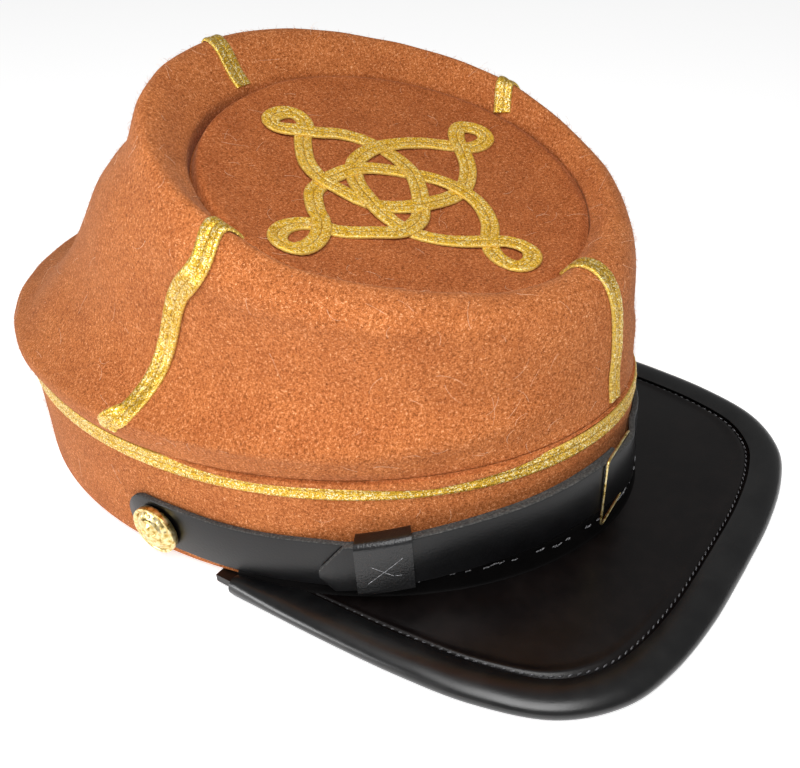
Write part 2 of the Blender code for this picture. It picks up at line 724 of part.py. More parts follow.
def main():
    clear_scene()
    wool = make_material("rust_wool", (0.47, 0.14, 0.045), 0.95)
    gold = make_material("gold_braid", (0.70, 0.48, 0.07), 0.45, 0.4)
    leather = make_material("black_leather", (0.012, 0.011, 0.012), 0.42)
    brass = make_material("brass", (0.80, 0.62, 0.26), 0.25, 1.0)

    band = build_band(wool)
    build_crown(wool)
    build_crown_top(wool)
    build_band_braid(gold)
    for quarter, name in enumerate(("left_braid", "back_braid", "right_braid", "front_braid")):
        build_wall_braid(name, quarter, gold)
    build_crown_knot(gold)
    right_length = build_right_length(leather)
    left_length = build_left_length(leather)
    build_keeper(leather)
    build_buckle(brass)
    build_peak(leather)
    build_binding(leather)
    left_angle = 540.0 - STRAP_BUTTON_ANGLE
    build_button("right_button", STRAP_BUTTON_ANGLE, brass)
    build_button("left_button", left_angle, brass)
    bpy.context.view_layer.update()
    drill(band, STRAP_BUTTON_ANGLE, "band_right_hole")
    drill(band, left_angle, "band_left_hole")
    drill(right_length, STRAP_BUTTON_ANGLE, "right_length_hole")
    drill(left_length, left_angle, "left_length_hole")


main()
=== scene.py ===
"""A kepi cap in rust wool, gold braid and black leather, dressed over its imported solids.

Metres, +Z up, the front of the cap towards -Y and the wearer's left towards +X.
"""

import random
from collections import namedtuple
from functools import partial
from math import acos, atan2, cos, degrees, exp, hypot, pi, radians, sin, sqrt, tan, tau

import bmesh
import bpy
from mathutils import Matrix, Vector, noise


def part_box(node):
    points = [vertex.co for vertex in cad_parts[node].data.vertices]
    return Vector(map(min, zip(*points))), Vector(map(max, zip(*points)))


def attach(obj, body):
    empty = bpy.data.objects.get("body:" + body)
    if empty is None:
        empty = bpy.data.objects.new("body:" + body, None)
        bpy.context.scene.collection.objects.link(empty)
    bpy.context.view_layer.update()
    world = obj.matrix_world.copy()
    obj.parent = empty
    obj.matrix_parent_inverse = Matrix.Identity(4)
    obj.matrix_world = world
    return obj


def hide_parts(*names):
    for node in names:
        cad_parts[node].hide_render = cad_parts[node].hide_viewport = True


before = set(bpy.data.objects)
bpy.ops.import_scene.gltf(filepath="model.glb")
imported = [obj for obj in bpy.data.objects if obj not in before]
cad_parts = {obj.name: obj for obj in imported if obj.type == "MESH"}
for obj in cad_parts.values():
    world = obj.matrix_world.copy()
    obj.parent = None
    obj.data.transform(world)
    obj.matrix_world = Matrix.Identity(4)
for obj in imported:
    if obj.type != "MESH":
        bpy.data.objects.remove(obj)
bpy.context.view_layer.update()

MM = 0.001
GAP = 0.3 * MM
UP = Vector((0.0, 0.0, 1.0))

# Head band, read from its solid: an oval, level at its back and rising to the front
BAND_LOW, BAND_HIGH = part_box("band")
BAND_CENTRE_Y = (BAND_LOW.y + BAND_HIGH.y) / 2
BAND_HALF_WIDTH = (BAND_HIGH.x - BAND_LOW.x) / 2
BAND_HALF_LENGTH = (BAND_HIGH.y - BAND_LOW.y) / 2
BAND_TOP_HALF_WIDTH = 82.0 * MM
BAND_TOP_HALF_LENGTH = 106.9 * MM
BAND_HEIGHT = 36.0 * MM
BAND_RISE = tan(radians(1.68))
WOOL_THICKNESS = 2.0 * MM
BAND_OUTER_ROWS = 16
BAND_INNER_ROWS = 8
# The limp band is pressed in a little at the wearer's left front: angle, reach and depth
PRESSED_ANGLE = 303.0
PRESSED_REACH = 17.0
PRESSED_DEPTH = 5.0 * MM

# The crown's oval sections from the band to the disc's seam, in mm, as the solid has them
Section = namedtuple("Section", "front_y front_z back_y back_z half_width")
CROWN_SECTIONS = (
    Section(-106.2, 43.1, 107.0, 36.7, 83.0),
    Section(-105.2, 47.0, 105.8, 47.7, 86.4),
    Section(-104.7, 52.3, 90.4, 54.0, 86.6),
    Section(-104.9, 59.5, 79.4, 68.2, 76.2),
    Section(-103.4, 72.4, 58.8, 94.0, 72.3),
    Section(-99.8, 78.7, 35.2, 108.8, 71.0),
    Section(-94.2, 80.5, 28.7, 122.7, 65.0),
    Section(-88.1, 76.4, 17.0, 111.1, 58.5),
)
CROWN_COLUMNS = 288
LEVEL_STEPS = 8
INNER_LEVEL_STEPS = 3

# The seam at the top of the crown, a tilted oval
SEAM = CROWN_SECTIONS[-1]
SEAM_LEVEL = len(CROWN_SECTIONS) - 1
SEAM_MIDDLE_Y = BAND_CENTRE_Y + (SEAM.front_y + SEAM.back_y) / 2 * MM
SEAM_HALF_WIDTH = SEAM.half_width * MM
SEAM_HALF_LENGTH = (SEAM.back_y - SEAM.front_y) / 2 * MM
SEAM_TILT = atan2(SEAM.back_z - SEAM.front_z, SEAM.back_y - SEAM.front_y)
SEAM_ALLOWANCE = 4.8 * MM

# Swells and hollows of the soft crown: angle round it, level, reach of each, and height in mm
Swell = namedtuple("Swell", "angle level wide tall height")
CROWN_SWELLS = (
    Swell(197.0, 6.1, 9.0, 0.7, -0.8),
    Swell(180.0, 2.9, 34.0, 1.1, -2.6),
    Swell(205.0, 4.3, 16.0, 0.9, 0.6),
    Swell(228.0, 6.5, 45.0, 0.35, 1.0),
    Swell(243.0, 2.9, 26.0, 0.7, -0.8),
    Swell(292.0, 3.2, 16.0, 1.6, -1.5),
    Swell(312.0, 4.7, 16.0, 0.8, -1.9),
    Swell(340.0, 5.4, 20.0, 0.8, -0.5),
    Swell(5.0, 6.0, 28.0, 0.8, 0.5),
    Swell(60.0, 3.0, 22.0, 0.9, -1.0),
    Swell(45.0, 6.0, 24.0, 0.8, -0.9),
    Swell(100.0, 6.5, 40.0, 0.35, 1.2),
    Swell(112.0, 5.8, 22.0, 0.8, 1.1),
    Swell(130.0, 4.9, 16.0, 0.7, 0.9),
    Swell(160.0, 2.2, 22.0, 0.8, -1.2),
    Swell(122.0, 3.7, 22.0, 1.0, -2.0),
    Swell(185.0, 4.9, 40.0, 0.6, 1.2),
)

# Crown disc
DISC_SAG = 4.8 * MM
DISC_EDGE_GAP = 1.2 * MM
DISC_SWELL = 1.2 * MM
DISC_SWELL_ANGLE = 228.0
DISC_SEAM_GAP = 0.25 * MM
# The disc's edge is drawn down into the seam, deepest at one angle
DISC_DIP_REACH = 1.7 * MM
DISC_DIP = 1.3 * MM
DISC_DEEPER_DIP = 3.1 * MM
DISC_DEEP_ANGLE = 148.0
DISC_COLUMNS = 192
DISC_RINGS = 60

# Gold braid: flat, of two cords of soutache sewn side by side, which shows as four ribs
BRAID_SIZE = (5.4 * MM, 0.85 * MM)
BRAID_CORDS = 4
BRAID_STEP = 0.3 * MM
BAND_BRAID_MIDDLE = 33.3 * MM
# Its scalloped edge, its sway and the dents in its cords: how long each is, then how strong
PICOT_PITCH, PICOT_SHARE = 1.25 * MM, 0.02
SWAY_LENGTH, SWAY = 7 * MM, 0.05 * MM
DENT_LENGTH, DENT_WIDTH, DENT_SHARE = 1.7 * MM, 1.2 * MM, 0.18
# Each wall braid: angle, level of foot and top, lean of foot and top in degrees, width in mm
WALL_BRAIDS = (
    ("left", 0.0, 0.24, 7.0, 0.0, 0.8, 5.6), ("back", 90.0, 0.24, 7.0, 0.0, 3.2, 6.0),
    ("right", 180.0, 0.85, 6.6, 2.3, 0.0, 6.0), ("front", 269.2, 0.3, 6.86, -0.6, 0.0, 5.4),
)
WALL_BRAID_STEPS = {"front": 220, "back": 420, "left": 420, "right": 420}
# The foot's lean ends at this level; the top's starts at one level and is full a span above it
FOOT_LEAN_END = 3.2
TOP_LEAN_START, TOP_LEAN_SPAN = 4.8, 2.2
# Wool lip that droops over the band braid: the height where it is gone, then angle round the
# band and height of its edge, all in mm
LIP_TOP = 36.2
LIP_EDGE = (
    (185.0, 36.2), (190.0, 35.5), (197.0, 35.0), (204.0, 34.6), (213.0, 34.9), (218.0, 34.8),
    (223.5, 34.2), (229.5, 33.5), (232.5, 33.8), (239.0, 34.6), (250.0, 35.6), (262.0, 36.2),
)

# The knot's one endless braid, in mm on the disc: x to the wearer's left, y to the back
KNOT_CENTRE_Y = -34.3 * MM
KNOT_BRAID_SIZE = (5.2 * MM, 0.8 * MM)
KNOT_LIFT = 0.65 * MM
KNOT_ROUTE = (
    # Strand from the left loop to the back loop
    (32.4, -1.7), (25.9, -8.5), (16.1, -13.3), (5.6, -13.4), (-4.0, -10.4), (-10.5, -5.9),
    (-14.3, -0.1), (-15.7, 6.2), (-16.3, 12.8), (-13.3, 21.1), (-6.6, 28.4), (-3.0, 31.3),
    # Back loop
    (0.3, 33.4), (2.4, 36.0), (2.5, 38.8), (0.2, 41.0), (-3.9, 41.6), (-7.3, 40.4),
    (-8.2, 37.7), (-6.4, 35.2), (-3.7, 33.3), (-1.0, 31.1),
    # Strand to the right loop
    (1.7, 28.8), (6.7, 25.4), (10.5, 20.7), (12.4, 14.6), (11.3, 6.3), (7.4, -1.8),
    (-0.2, -9.6), (-9.1, -15.2), (-18.1, -15.7), (-25.1, -11.0), (-31.0, -5.8),
    # Right loop
    (-33.8, -1.4), (-35.5, 1.2), (-38.8, 2.9), (-43.2, 3.0), (-47.6, 0.8), (-49.6, -2.6),
    (-48.2, -5.9), (-43.8, -6.5), (-38.8, -5.0), (-34.5, -2.3), (-31.3, 1.0),
    # Strand to the front loop
    (-29.0, 4.4), (-22.9, 10.3), (-14.8, 12.7), (-7.2, 12.1), (-0.8, 9.9), (5.1, 5.3),
    (9.4, 0.0), (12.9, -5.8), (14.0, -13.4), (12.4, -21.4), (7.0, -28.5), (-0.8, -33.3),
    # Front loop
    (-3.9, -36.0), (-5.9, -38.9), (-6.8, -41.9), (-6.6, -45.3), (-4.5, -47.3), (-0.4, -47.0),
    (2.9, -44.4), (3.4, -40.6), (2.0, -37.3), (-0.2, -35.1),
    # Strand back to the left loop
    (-2.8, -33.2), (-7.4, -29.1), (-11.6, -24.4), (-14.3, -19.6), (-15.4, -13.7), (-14.8, -6.7),
    (-12.2, 0.5), (-7.8, 7.8), (-0.7, 13.8), (8.2, 15.1), (16.3, 13.4), (24.9, 8.7), (31.3, 2.6),
    # Left loop
    (33.9, -0.3), (36.3, -2.5), (39.9, -3.9), (43.9, -3.5), (45.7, -0.5), (44.6, 3.0),
    (42.1, 5.2), (38.6, 4.6), (35.3, 2.0),
)

# Chin strap, in degrees round the band's oval: 180 is the wearer's right, 270 the front
STRAP_WIDTH = 14.8 * MM
STRAP_THICKNESS = 1.7 * MM
STRAP_CORNER = 0.45 * MM
STRAP_BUTTON_ANGLE = 185.5
STRAP_END_ANGLE = 179.4
STRAP_HEIGHTS = (
    (180.0, 11.8), (188.0, 11.5), (197.0, 10.5), (205.0, 10.3), (213.0, 11.3), (221.0, 13.3),
    (229.0, 15.4), (237.0, 16.8), (248.0, 17.8), (258.0, 18.7), (270.0, 19.0),
)
STRAP_STANDOFFS = (
    (180.0, 0.3), (206.0, 0.3), (216.0, 1.9), (227.0, 1.9), (240.0, 1.2), (252.0, 0.9), (270.0, 0.9),
)
TONGUE_ROWS = ((212.4, -0.2, -0.04), (214.6, -0.5, 0.27), (216.4, -0.5, 0.5))
RIGHT_LENGTH_END_ANGLE = 265.8
UNDERLAP_START_ANGLE = 269.0
UNDERLAP_END_ANGLE = 277.0
STRAP_STEP_ANGLE = 0.8
ROUND_END_ROWS = 14
TONGUE_STEPS = 4
# Which faces of the leather are its pale cut edges: how squarely they look up, down or along
CUT_EDGE_FACING = 0.62
TONGUE_END_FACING = 0.6
TONGUE_END_REACH = 22 * MM
KEEPER_EDGE_FACING = 0.8
# Under the other length the right one hangs a little lower
STRAP_SLIP = 0.9 * MM
STRAP_SLIP_ANGLE = 213.0

# Buckle and keeper
BUCKLE_LEFT_X = -15.8 * MM
BUCKLE_RIGHT_X = -1.5 * MM
BUCKLE_LEAN = 2.6
BUCKLE_BOTTOM = 6.6 * MM
BUCKLE_TOP = 26.8 * MM
BUCKLE_WIRE_RADIUS = 0.36 * MM
BUCKLE_CORNER_RADIUS = 2.2 * MM
BUCKLE_WIRE_SIDES = 16
BUCKLE_CORNER_STEPS = 8
BUCKLE_STEP = 0.5 * MM
BUCKLE_FAR_BAR_LOW = 1.9 * MM
BUCKLE_FAR_BAR_HIGH = 2.5 * MM
KEEPER_START_ANGLE = 217.9
KEEPER_END_ANGLE = 226.1
KEEPER_THICKNESS = 1.0 * MM
KEEPER_CORNER = 2.0 * MM
# Scratches on the keeper: each from one place to another, share of its width and height in mm
SCRATCHES = (
    ((0.3, 1.3), (0.62, -2.0)), ((0.24, -3.4), (0.78, 2.6)), ((0.68, -2.3), (0.77, -2.4)),
)
SCRATCH_PARTS = 6
SCRATCH_WIDTH, SCRATCH_HEIGHT = 0.2 * MM, 0.06 * MM

# Side buttons
BUTTON_RADIUS = 7.5 * MM
BUTTON_HEIGHT = 10.5 * MM
BUTTON_RIM_DEPTH = 1.8 * MM
BUTTON_RIM_RAISE = 0.5 * MM
BUTTON_DOME_DEPTH = 2.4 * MM
BUTTON_STEPS = 160
BUTTON_FACE_SHARE = 0.84
BUTTON_FACE_ROWS = 36
# Its stamped boss, petals, ring and beads: inner and outer edge as shares of its radius, height
# in mm, how many round it, and how full each is
BUTTON_RINGS = (
    (-0.14, 0.14, 0.3, 0, 1.0), (0.1, 0.46, 0.32, 4, 0.6), (0.52, 0.62, 0.3, 0, 1.0),
    (0.66, 0.8, 0.24, 20, 1.0),
)
SHANK_RADIUS = 1.2 * MM
SHANK_LENGTH = 7.4 * MM

# Peak, from its rear corner to the middle of its front, in mm from the band's centre
PEAK_OUTLINE = (
    (84.4, -31.5), (83.4, -46.0), (82.0, -66.0), (80.2, -88.0), (77.0, -108.0), (70.0, -126.5),
    (57.5, -138.6), (42.0, -144.2), (22.0, -146.8), (0.0, -147.2),
)
PEAK_STEPS = 12
PEAK_SHIFT = Vector((-0.9 * MM, -0.4 * MM))
BINDING_FIRST_COLUMN = 3
PEAK_THICKNESS = 2.4 * MM
PEAK_INSET = 1.8 * MM
PEAK_REAR_ANGLE = 195.0
PEAK_TAB = 2.4 * MM
BINDING_WIDTH = 9.6 * MM
BINDING_HEIGHT = 5.6 * MM
# The plate beside the binding: a sunk stitch line, then a soft welt
GROOVE_DEPTH, GROOVE_WIDTH = 0.8 * MM, 0.8 * MM
WELT_HEIGHT, WELT_PLACE, WELT_WIDTH = 0.45 * MM, 2.3 * MM, 1.2 * MM
# Rows of the plate as shares of the way to the band, close together at the groove and welt
PLATE_SHARES = (0.0, 0.012, 0.025, 0.04, 0.055, 0.075, 0.1) + tuple(
    0.14 + 0.86 * step / 14 for step in range(15))
# The binding's unevenness, and how full its pared ends are
BINDING_WAVE, BINDING_UNEVENNESS = 14 * MM, 0.05
BINDING_END_FULLNESS = 0.84
# The folded binding's section: share of the width in from the edge, share of half the height
BINDING_OUTER = (
    (1.0, 0.66), (0.9, 0.8), (0.72, 0.95), (0.5, 1.0), (0.29, 0.9), (0.12, 0.64), (0.03, 0.33),
    (0.0, 0.0), (0.04, -0.45), (0.19, -0.86), (0.43, -1.0), (0.72, -0.93), (1.0, -0.8),
)
# The binding's stitches: their pitch, their inset, and the length, width and height of each
STITCH_PITCH = 2.3 * MM
STITCH_INSET = 1.1 * MM
UPPER_STITCH = (1.7 * MM, 0.5 * MM, 0.7 * MM)
UNDER_STITCH = (1.7 * MM, 0.5 * MM, 0.5 * MM)
# The peak's inner edge turned up the band: angle round the band and its height in mm
TURNED_EDGE = (
    (198.5, 2.0), (204.0, 3.2), (207.0, 3.7), (213.0, 4.3), (217.5, 4.8), (226.0, 5.4), (232.0, 6.2),
    (250.0, 6.6), (270.0, 6.6),
)
TURNED_EDGE_STEPS = 18
# Hand stitches through the turned edge lie in clusters: one to so many mm of a cluster's length,
# degrees apart, their distance from the band, their slants, lengths in mm, width and height
CLUSTER_PITCH, CLUSTER_TURN = 0.62, 0.5
HAND_STITCH_OUT = 1.65 * MM
HAND_STITCH_SLANTS = (0.1, 1.1)
HAND_STITCH_RISES = (-0.25, 0.25)
HAND_STITCH_LENGTHS = (0.9, 1.5)
HAND_STITCH_WIDTH, HAND_STITCH_HEIGHT = 0.42 * MM, 0.4 * MM
# Each cluster: angle round the band, height in mm and length in mm
EDGE_STITCHES = (
    (220.5, 3.2, 0.9), (226.5, 3.9, 1.0), (232.0, 5.1, 1.1), (234.5, 5.3, 1.0), (237.5, 5.1, 1.1),
    (239.5, 5.6, 3.4), (242.5, 5.1, 1.2), (247.5, 5.3, 1.6), (251.0, 4.4, 2.4), (253.5, 4.7, 1.0),
    (258.5, 4.8, 2.0), (261.5, 4.6, 1.0), (266.0, 4.9, 1.4), (271.5, 4.7, 2.2),
)

# Wool's pattern. Hairs are 0.02 mm thick and a few mm long, drawn thicker and shorter to show,
# in two layers of patches that each turn them another way: size of a patch, and its shift
WOOL_HAIR_WIDTH = 0.22 * MM
WOOL_HAIR_LENGTH = 1.5 * MM
WOOL_HAIR_LAYERS = ((1.7 * MM, 0.0), (2.3 * MM, 0.31))
WOOL_TUFT_SIZE = 0.7 * MM
# Cloth takes dye unevenly
WOOL_DYE_CLOUD = 12 * MM
# Where the wool's tones sit: ground, middle, hairs, hair tips
WOOL_STOPS = (0.40, 0.50, 0.58, 0.68)
WOOL_TONES = ("#713812", "#a86131", "#c87741", "#ebb98b")
# The disc is the same wool with darker tones: painted shade for the top, which gets less light
SHADED_DISC_WOOL_TONES = ("#6c330e", "#9e5628", "#bc6a38", "#dea678")

# Gold braid's pattern: one turn of its thread, a painted glint drawn coarse enough to show, and how
# far the painted shade line between the cords runs before it wanders
THREAD_TURN = 0.45 * MM
GLINT_SIZE = 0.3 * MM
VALLEY_WANDER = 0.8 * MM
# Where the braid's tones sit: dull windings, gold, then painted highlights of bright gold, white glints
TINSEL_STOPS = (0.1, 0.45, 0.85, 1.0)
TINSEL_TONES = ("#9c7414", "#d4a322", "#e6c04a", "#faecb8")
# The knot's tones are the same braid drawn brighter and yellower: painted light for the top
LIT_KNOT_TINSEL_TONES = ("#b2800a", "#e6ae14", "#fbcb36", "#fff0b4")

# Leather: reach of its creases and handling marks, its pores, and the fibres of a cut edge
LEATHER_HANDLING = 9 * MM
LEATHER_PORE = 0.35 * MM
HIDE_FIBRE = 0.6 * MM
# Each finish: name, tone, worn tone, roughness, grain and its depth in mm, specular level
LEATHERS = (
    ("strap_leather", "#020203", "#060608", 0.3, 0.55, 0.05, 0.38),
    ("keeper_leather", "#050506", "#0c0c0e", 0.3, 0.5, 0.12, 0.55),
    ("peak_leather", "#080505", "#110c0b", 0.32, 0.5, 0.03, 0.35),
    ("dull_leather", "#040303", "#080606", 0.6, 0.5, 0.04, 0.1),
    ("binding_leather", "#0a0a0b", "#141414", 0.29, 0.4, 0.03, 0.6),
)

# Brass and fibres: size of the worn spots and of the plies' change of tone
BRASS_WEAR = 1.3 * MM
FIBRE_PLY = 0.5 * MM
FIBRES = (
    ("black_waxed_thread", "#2a2a2d", "#646467"), ("pale_waxed_thread", "#5f5f62", "#a4a4a7"),
    ("pale_wool_hair", "#d9a883", "#f0d0b0"), ("rust_wool_hair", "#a9602f", "#d08a55"),
)

# Hairs of the wool: which share of them is on the crown, and on the crown and its disc
CROWN_HAIRS_TO, DISC_HAIRS_TO = 0.6, 0.82
# Each kind: name, count, start above the cloth in mm, lengths in mm, steps, how far it stands
# up, thickness in mm
WOOL_HAIRS = (
    ("loose_wool_hairs", 320, 0.12, (2.0, 8.0), 6, (0.05, 0.35), 0.085),
    ("wool_nap", 9000, 0.0, (0.7, 1.7), 2, (0.3, 1.2), 0.09),
)

# Camera, matched to the photo's view of the cap
CAMERA_AZIMUTH = radians(-52.63)
CAMERA_ELEVATION = radians(33.64)
CAMERA_ROLL = radians(-2.84)
CAMERA_DISTANCE = 266.25 * MM
CAMERA_TARGET = Vector((-16.56 * MM, BAND_CENTRE_Y - 45.6 * MM, 35.78 * MM))
PICTURE_WIDTH = 800.0
CAMERA_FOCAL_PIXELS = 901.03
SENSOR_WIDTH = 36.0
CAMERA_CLIP = 10 * MM

# Studio. Each light: name, azimuth and elevation in degrees, distance and size in m, watts
FLOOR_HALF_SIZE = 6.0
FLOOR_GLOW = 0.6
ROOM_LIGHT = 0.25
LIGHTS = (
    ("key", -54.0, 52.0, 0.32, 0.22, 0.93), ("overhead", -90.0, 75.0, 1.4, 0.9, 2.6),
    ("fill", -120.0, 12.0, 1.5, 0.5, 9.0),
)


# Curves and places on the cap

def read_rows(rows, place):
    """Read rows of numbers at a real-valued row position, along a smooth curve."""
    last = len(rows) - 1
    index = min(max(int(place), 0), last - 1)
    t = place - index
    start, end = rows[index], rows[index + 1]
    before = rows[index - 1] if index else start
    after = rows[index + 2] if index + 2 <= last else end
    start_share = 0.5 if index else 1.0
    end_share = 0.5 if index + 2 <= last else 1.0
    weight_start = 2 * t ** 3 - 3 * t ** 2 + 1
    weight_end = 3 * t ** 2 - 2 * t ** 3
    slope_start = (t ** 3 - 2 * t ** 2 + t) * start_share
    slope_end = (t ** 3 - t ** 2) * end_share
    return tuple(
        weight_start * s + weight_end * e + slope_start * (e - b) + slope_end * (a - s)
        for b, s, e, a in zip(before, start, end, after)
    )


def smooth_rows(rows, steps):
    """Points of a smooth curve through rows of numbers, with `steps` points to each interval."""
    return [read_rows(rows, step / steps) for step in range((len(rows) - 1) * steps + 1)]


STRAP_HEIGHT_CURVE = smooth_rows(STRAP_HEIGHTS, 8)
STRAP_STANDOFF_CURVE = smooth_rows(STRAP_STANDOFFS, 8)


def interpolate(curve, key):
    """Read a curve of (key, number) points at a key."""
    if key <= curve[0][0]:
        return curve[0][1]
    for (low, low_number), (high, high_number) in zip(curve, curve[1:]):
        if key <= high:
            return low_number + (key - low) / (high - low) * (high_number - low_number)
    return curve[-1][1]


def ease(share):
    """0 to 1 with a gentle start and end."""
    share = min(max(share, 0.0), 1.0)
    return share * share * (3.0 - 2.0 * share)


def turn_from(angle, middle):
    """Turn from one angle to another, between -180 and 180 degrees."""
    return (angle - middle + 180.0) % 360.0 - 180.0


def other_side(angle):
    """The angle of the same place on the cap's other side."""
    return 540.0 - angle


def band_lift(y):
    """Height above the table of the band's lower edge, y from the band's centre."""
    return BAND_RISE * (BAND_HALF_LENGTH - y)


def pressed_in(angle):
    """How far the band is pressed in at an angle round it."""
    return PRESSED_DEPTH * exp(-(turn_from(angle, PRESSED_ANGLE) / PRESSED_REACH) ** 2)


def band_point(angle, outward, height):
    """A point beside the band: degrees round its oval, distance outwards, height above its
    lower edge."""
    share = height / BAND_HEIGHT
    half_width = BAND_HALF_WIDTH + share * (BAND_TOP_HALF_WIDTH - BAND_HALF_WIDTH)
    half_length = BAND_HALF_LENGTH + share * (BAND_TOP_HALF_LENGTH - BAND_HALF_LENGTH)
    cosine, sine = cos(radians(angle)), sin(radians(angle))
    normal = Vector((cosine / half_width, sine / half_length, 0.0)).normalized()
    outward -= pressed_in(angle)
    y = half_length * sine + normal.y * outward
    x = half_width * cosine + normal.x * outward
    return Vector((x, BAND_CENTRE_Y + y, height + band_lift(y)))


def band_normal(angle):
    """Direction straight out of the band."""
    return (band_point(angle, 1.0, 0.0) - band_point(angle, 0.0, 0.0)).normalized()


def band_tangent(angle):
    """Direction round the band."""
    return (band_point(angle + 0.1, 0.0, 0.0) - band_point(angle - 0.1, 0.0, 0.0)).normalized()


def crown_point(angle, level):
    """A point of the crown's plain form: degrees round it, and level from 0, the hem, to the seam."""
    section = Section(*read_rows(CROWN_SECTIONS, level))
    cosine, sine = cos(radians(angle)), sin(radians(angle))
    return Vector((
        section.half_width * cosine,
        BAND_CENTRE_Y / MM + (section.front_y + section.back_y) / 2
        + (section.back_y - section.front_y) / 2 * sine,
        (section.front_z + section.back_z) / 2 + (section.back_z - section.front_z) / 2 * sine,
    )) * MM


def crown_normal(angle, level):
    """Direction out of the crown's plain form."""
    around = crown_point(angle + 0.5, level) - crown_point(angle - 0.5, level)
    low, high = max(level - 0.06, 0.0), min(level + 0.06, SEAM_LEVEL)
    return around.cross(crown_point(angle, high) - crown_point(angle, low)).normalized()


def cloth_relief(point, size, depth):
    """Soft unevenness of the wool, with swells of about `size`."""
    return noise.noise(point / size) * depth


def crown_relief(angle, level, point):
    """How far the soft crown swells from its plain form."""
    held = ease(level / 0.7) * ease((SEAM_LEVEL - level) / 0.8)
    relief = cloth_relief(point, 34 * MM, 1.0 * MM) + cloth_relief(point, 13 * MM, 0.34 * MM)
    for swell in CROWN_SWELLS:
        turn = turn_from(angle, swell.angle)
        reach = (turn / swell.wide) ** 2 + ((level - swell.level) / swell.tall) ** 2
        relief += swell.height * MM * exp(-reach)
    return relief * held


def crown_surface(angle, level, lift=0.0):
    """A point on the crown's outer face, or `lift` out from it, and the direction out of it."""
    point = crown_point(angle, level)
    normal = crown_normal(angle, level)
    pressed = 0.65 * pressed_in(angle) * ease((2.4 - level) / 2.2)
    return point + normal * (crown_relief(angle, level, point) + lift - pressed), normal


def seam_plane(y):
    """Height of the disc's seam plane, y in metres in the row's frame."""
    slope = (SEAM.back_z - SEAM.front_z) / (SEAM.back_y - SEAM.front_y)
    return (SEAM.front_z + SEAM.back_z) / 2 * MM + slope * (y - SEAM_MIDDLE_Y)


def disc_surface(x, y):
    """A point of the disc's upper face, from its place in plan."""
    share = min(1.0, hypot(
        x / (SEAM_HALF_WIDTH - DISC_EDGE_GAP), (y - SEAM_MIDDLE_Y) / (SEAM_HALF_LENGTH - DISC_EDGE_GAP)))
    point = Vector((x, y, seam_plane(y) - DISC_SAG * (1.0 - share ** 4)))
    relief = cloth_relief(point, 24 * MM, 0.5 * MM) + cloth_relief(point, 9 * MM, 0.16 * MM)
    turn = turn_from(degrees(atan2(y - SEAM_MIDDLE_Y, x)), DISC_SWELL_ANGLE)
    relief += DISC_SWELL * exp(-(turn / 50.0) ** 2 - ((share - 0.66) / 0.22) ** 2)
    point.z += relief * ease((1.0 - share) / 0.12)
    return point


def disc_normal(x, y):
    """Direction out of the disc's upper face."""
    step = 1.0 * MM
    across = disc_surface(x + step, y) - disc_surface(x - step, y)
    along = disc_surface(x, y + step) - disc_surface(x, y - step)
    return across.cross(along).normalized()


def knot_place(x, y):
    """Plan position, in the row's frame, of a point in mm on the tilted disc."""
    return x * MM, BAND_CENTRE_Y + KNOT_CENTRE_Y + y * MM * cos(SEAM_TILT)


# Making pieces

def wrapped_grid(columns, rows, place):
    """A grid of faces with place(column, row) at each corner. Its UV map is the share along
    and across; what meets is merged."""
    bm = bmesh.new()
    uv_layer = bm.loops.layers.uv.new("surface")
    bmesh.ops.create_grid(bm, x_segments=columns, y_segments=rows, size=0.5, calc_uvs=True)
    for vert in bm.verts:
        column, row = round((vert.co.x + 0.5) * columns), round((vert.co.y + 0.5) * rows)
        vert.co = place(column, row)
    bmesh.ops.remove_doubles(bm, verts=bm.verts, dist=0.002 * MM)
    return bm, uv_layer


def add_object(name, data):
    """Put a mesh, curve, camera or light in the scene."""
    scene_object = bpy.data.objects.new(name, data)
    bpy.context.scene.collection.objects.link(scene_object)
    return scene_object


def dress(piece, nodes=()):
    """Hang a piece on the cap's one body and hide the solids it stands in for."""
    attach(piece, "root")
    if nodes:
        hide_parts(*nodes)
    return piece


def finish_mesh(name, bm, materials, nodes=(), sharp_degrees=50.0):
    """Turn a bmesh into a smooth-shaded piece of its own."""
    bmesh.ops.recalc_face_normals(bm, faces=bm.faces)
    mesh = bpy.data.meshes.new(name)
    bm.to_mesh(mesh)
    bm.free()
    mesh.shade_smooth()
    mesh.set_sharp_from_angle(angle=radians(sharp_degrees))
    for material in materials:
        mesh.materials.append(material)
    return dress(add_object(name, mesh), nodes)


def mark_edges(bm, is_edge):
    """Give the faces whose middle and normal pass a test the piece's second material."""
    bmesh.ops.recalc_face_normals(bm, faces=bm.faces)
    for face in bm.faces:
        if is_edge(face.calc_center_median(), face.normal):
            face.material_index = 1


def close_ends(bm):
    """Close the open ends of a tube."""
    bmesh.ops.holes_fill(bm, edges=[edge for edge in bm.edges if edge.is_boundary], sides=0)


def skin_outlines(outlines, ring=False):
    """Skin a row of closed outlines, as a ring or as a tube with its ends closed."""
    count, around = len(outlines), len(outlines[0])
    bm, _ = wrapped_grid(
        count if ring else count - 1, around,
        lambda column, row: outlines[column % count][row % around])
    if not ring:
        close_ends(bm)
    return bm


# Materials

def linear(hex_colour):
    """Linear colour of an sRGB hex value."""
    channels = [int(hex_colour[index:index + 2], 16) / 255.0 for index in (1, 3, 5)]
    return tuple(
        value / 12.92 if value <= 0.04045 else ((value + 0.055) / 1.055) ** 2.4
        for value in channels
    ) + (1.0,)


def fill_sockets(node, inputs):
    """Set a node's sockets to numbers and colours, or link them to an output or to the first
    output in use of another node."""
    for socket, value in inputs.items():
        if isinstance(value, bpy.types.Node):
            value = next(output for output in value.outputs if output.enabled)
        if isinstance(value, bpy.types.NodeSocket):
            node.id_data.links.new(value, node.inputs[socket])
        else:
            node.inputs[socket].default_value = value


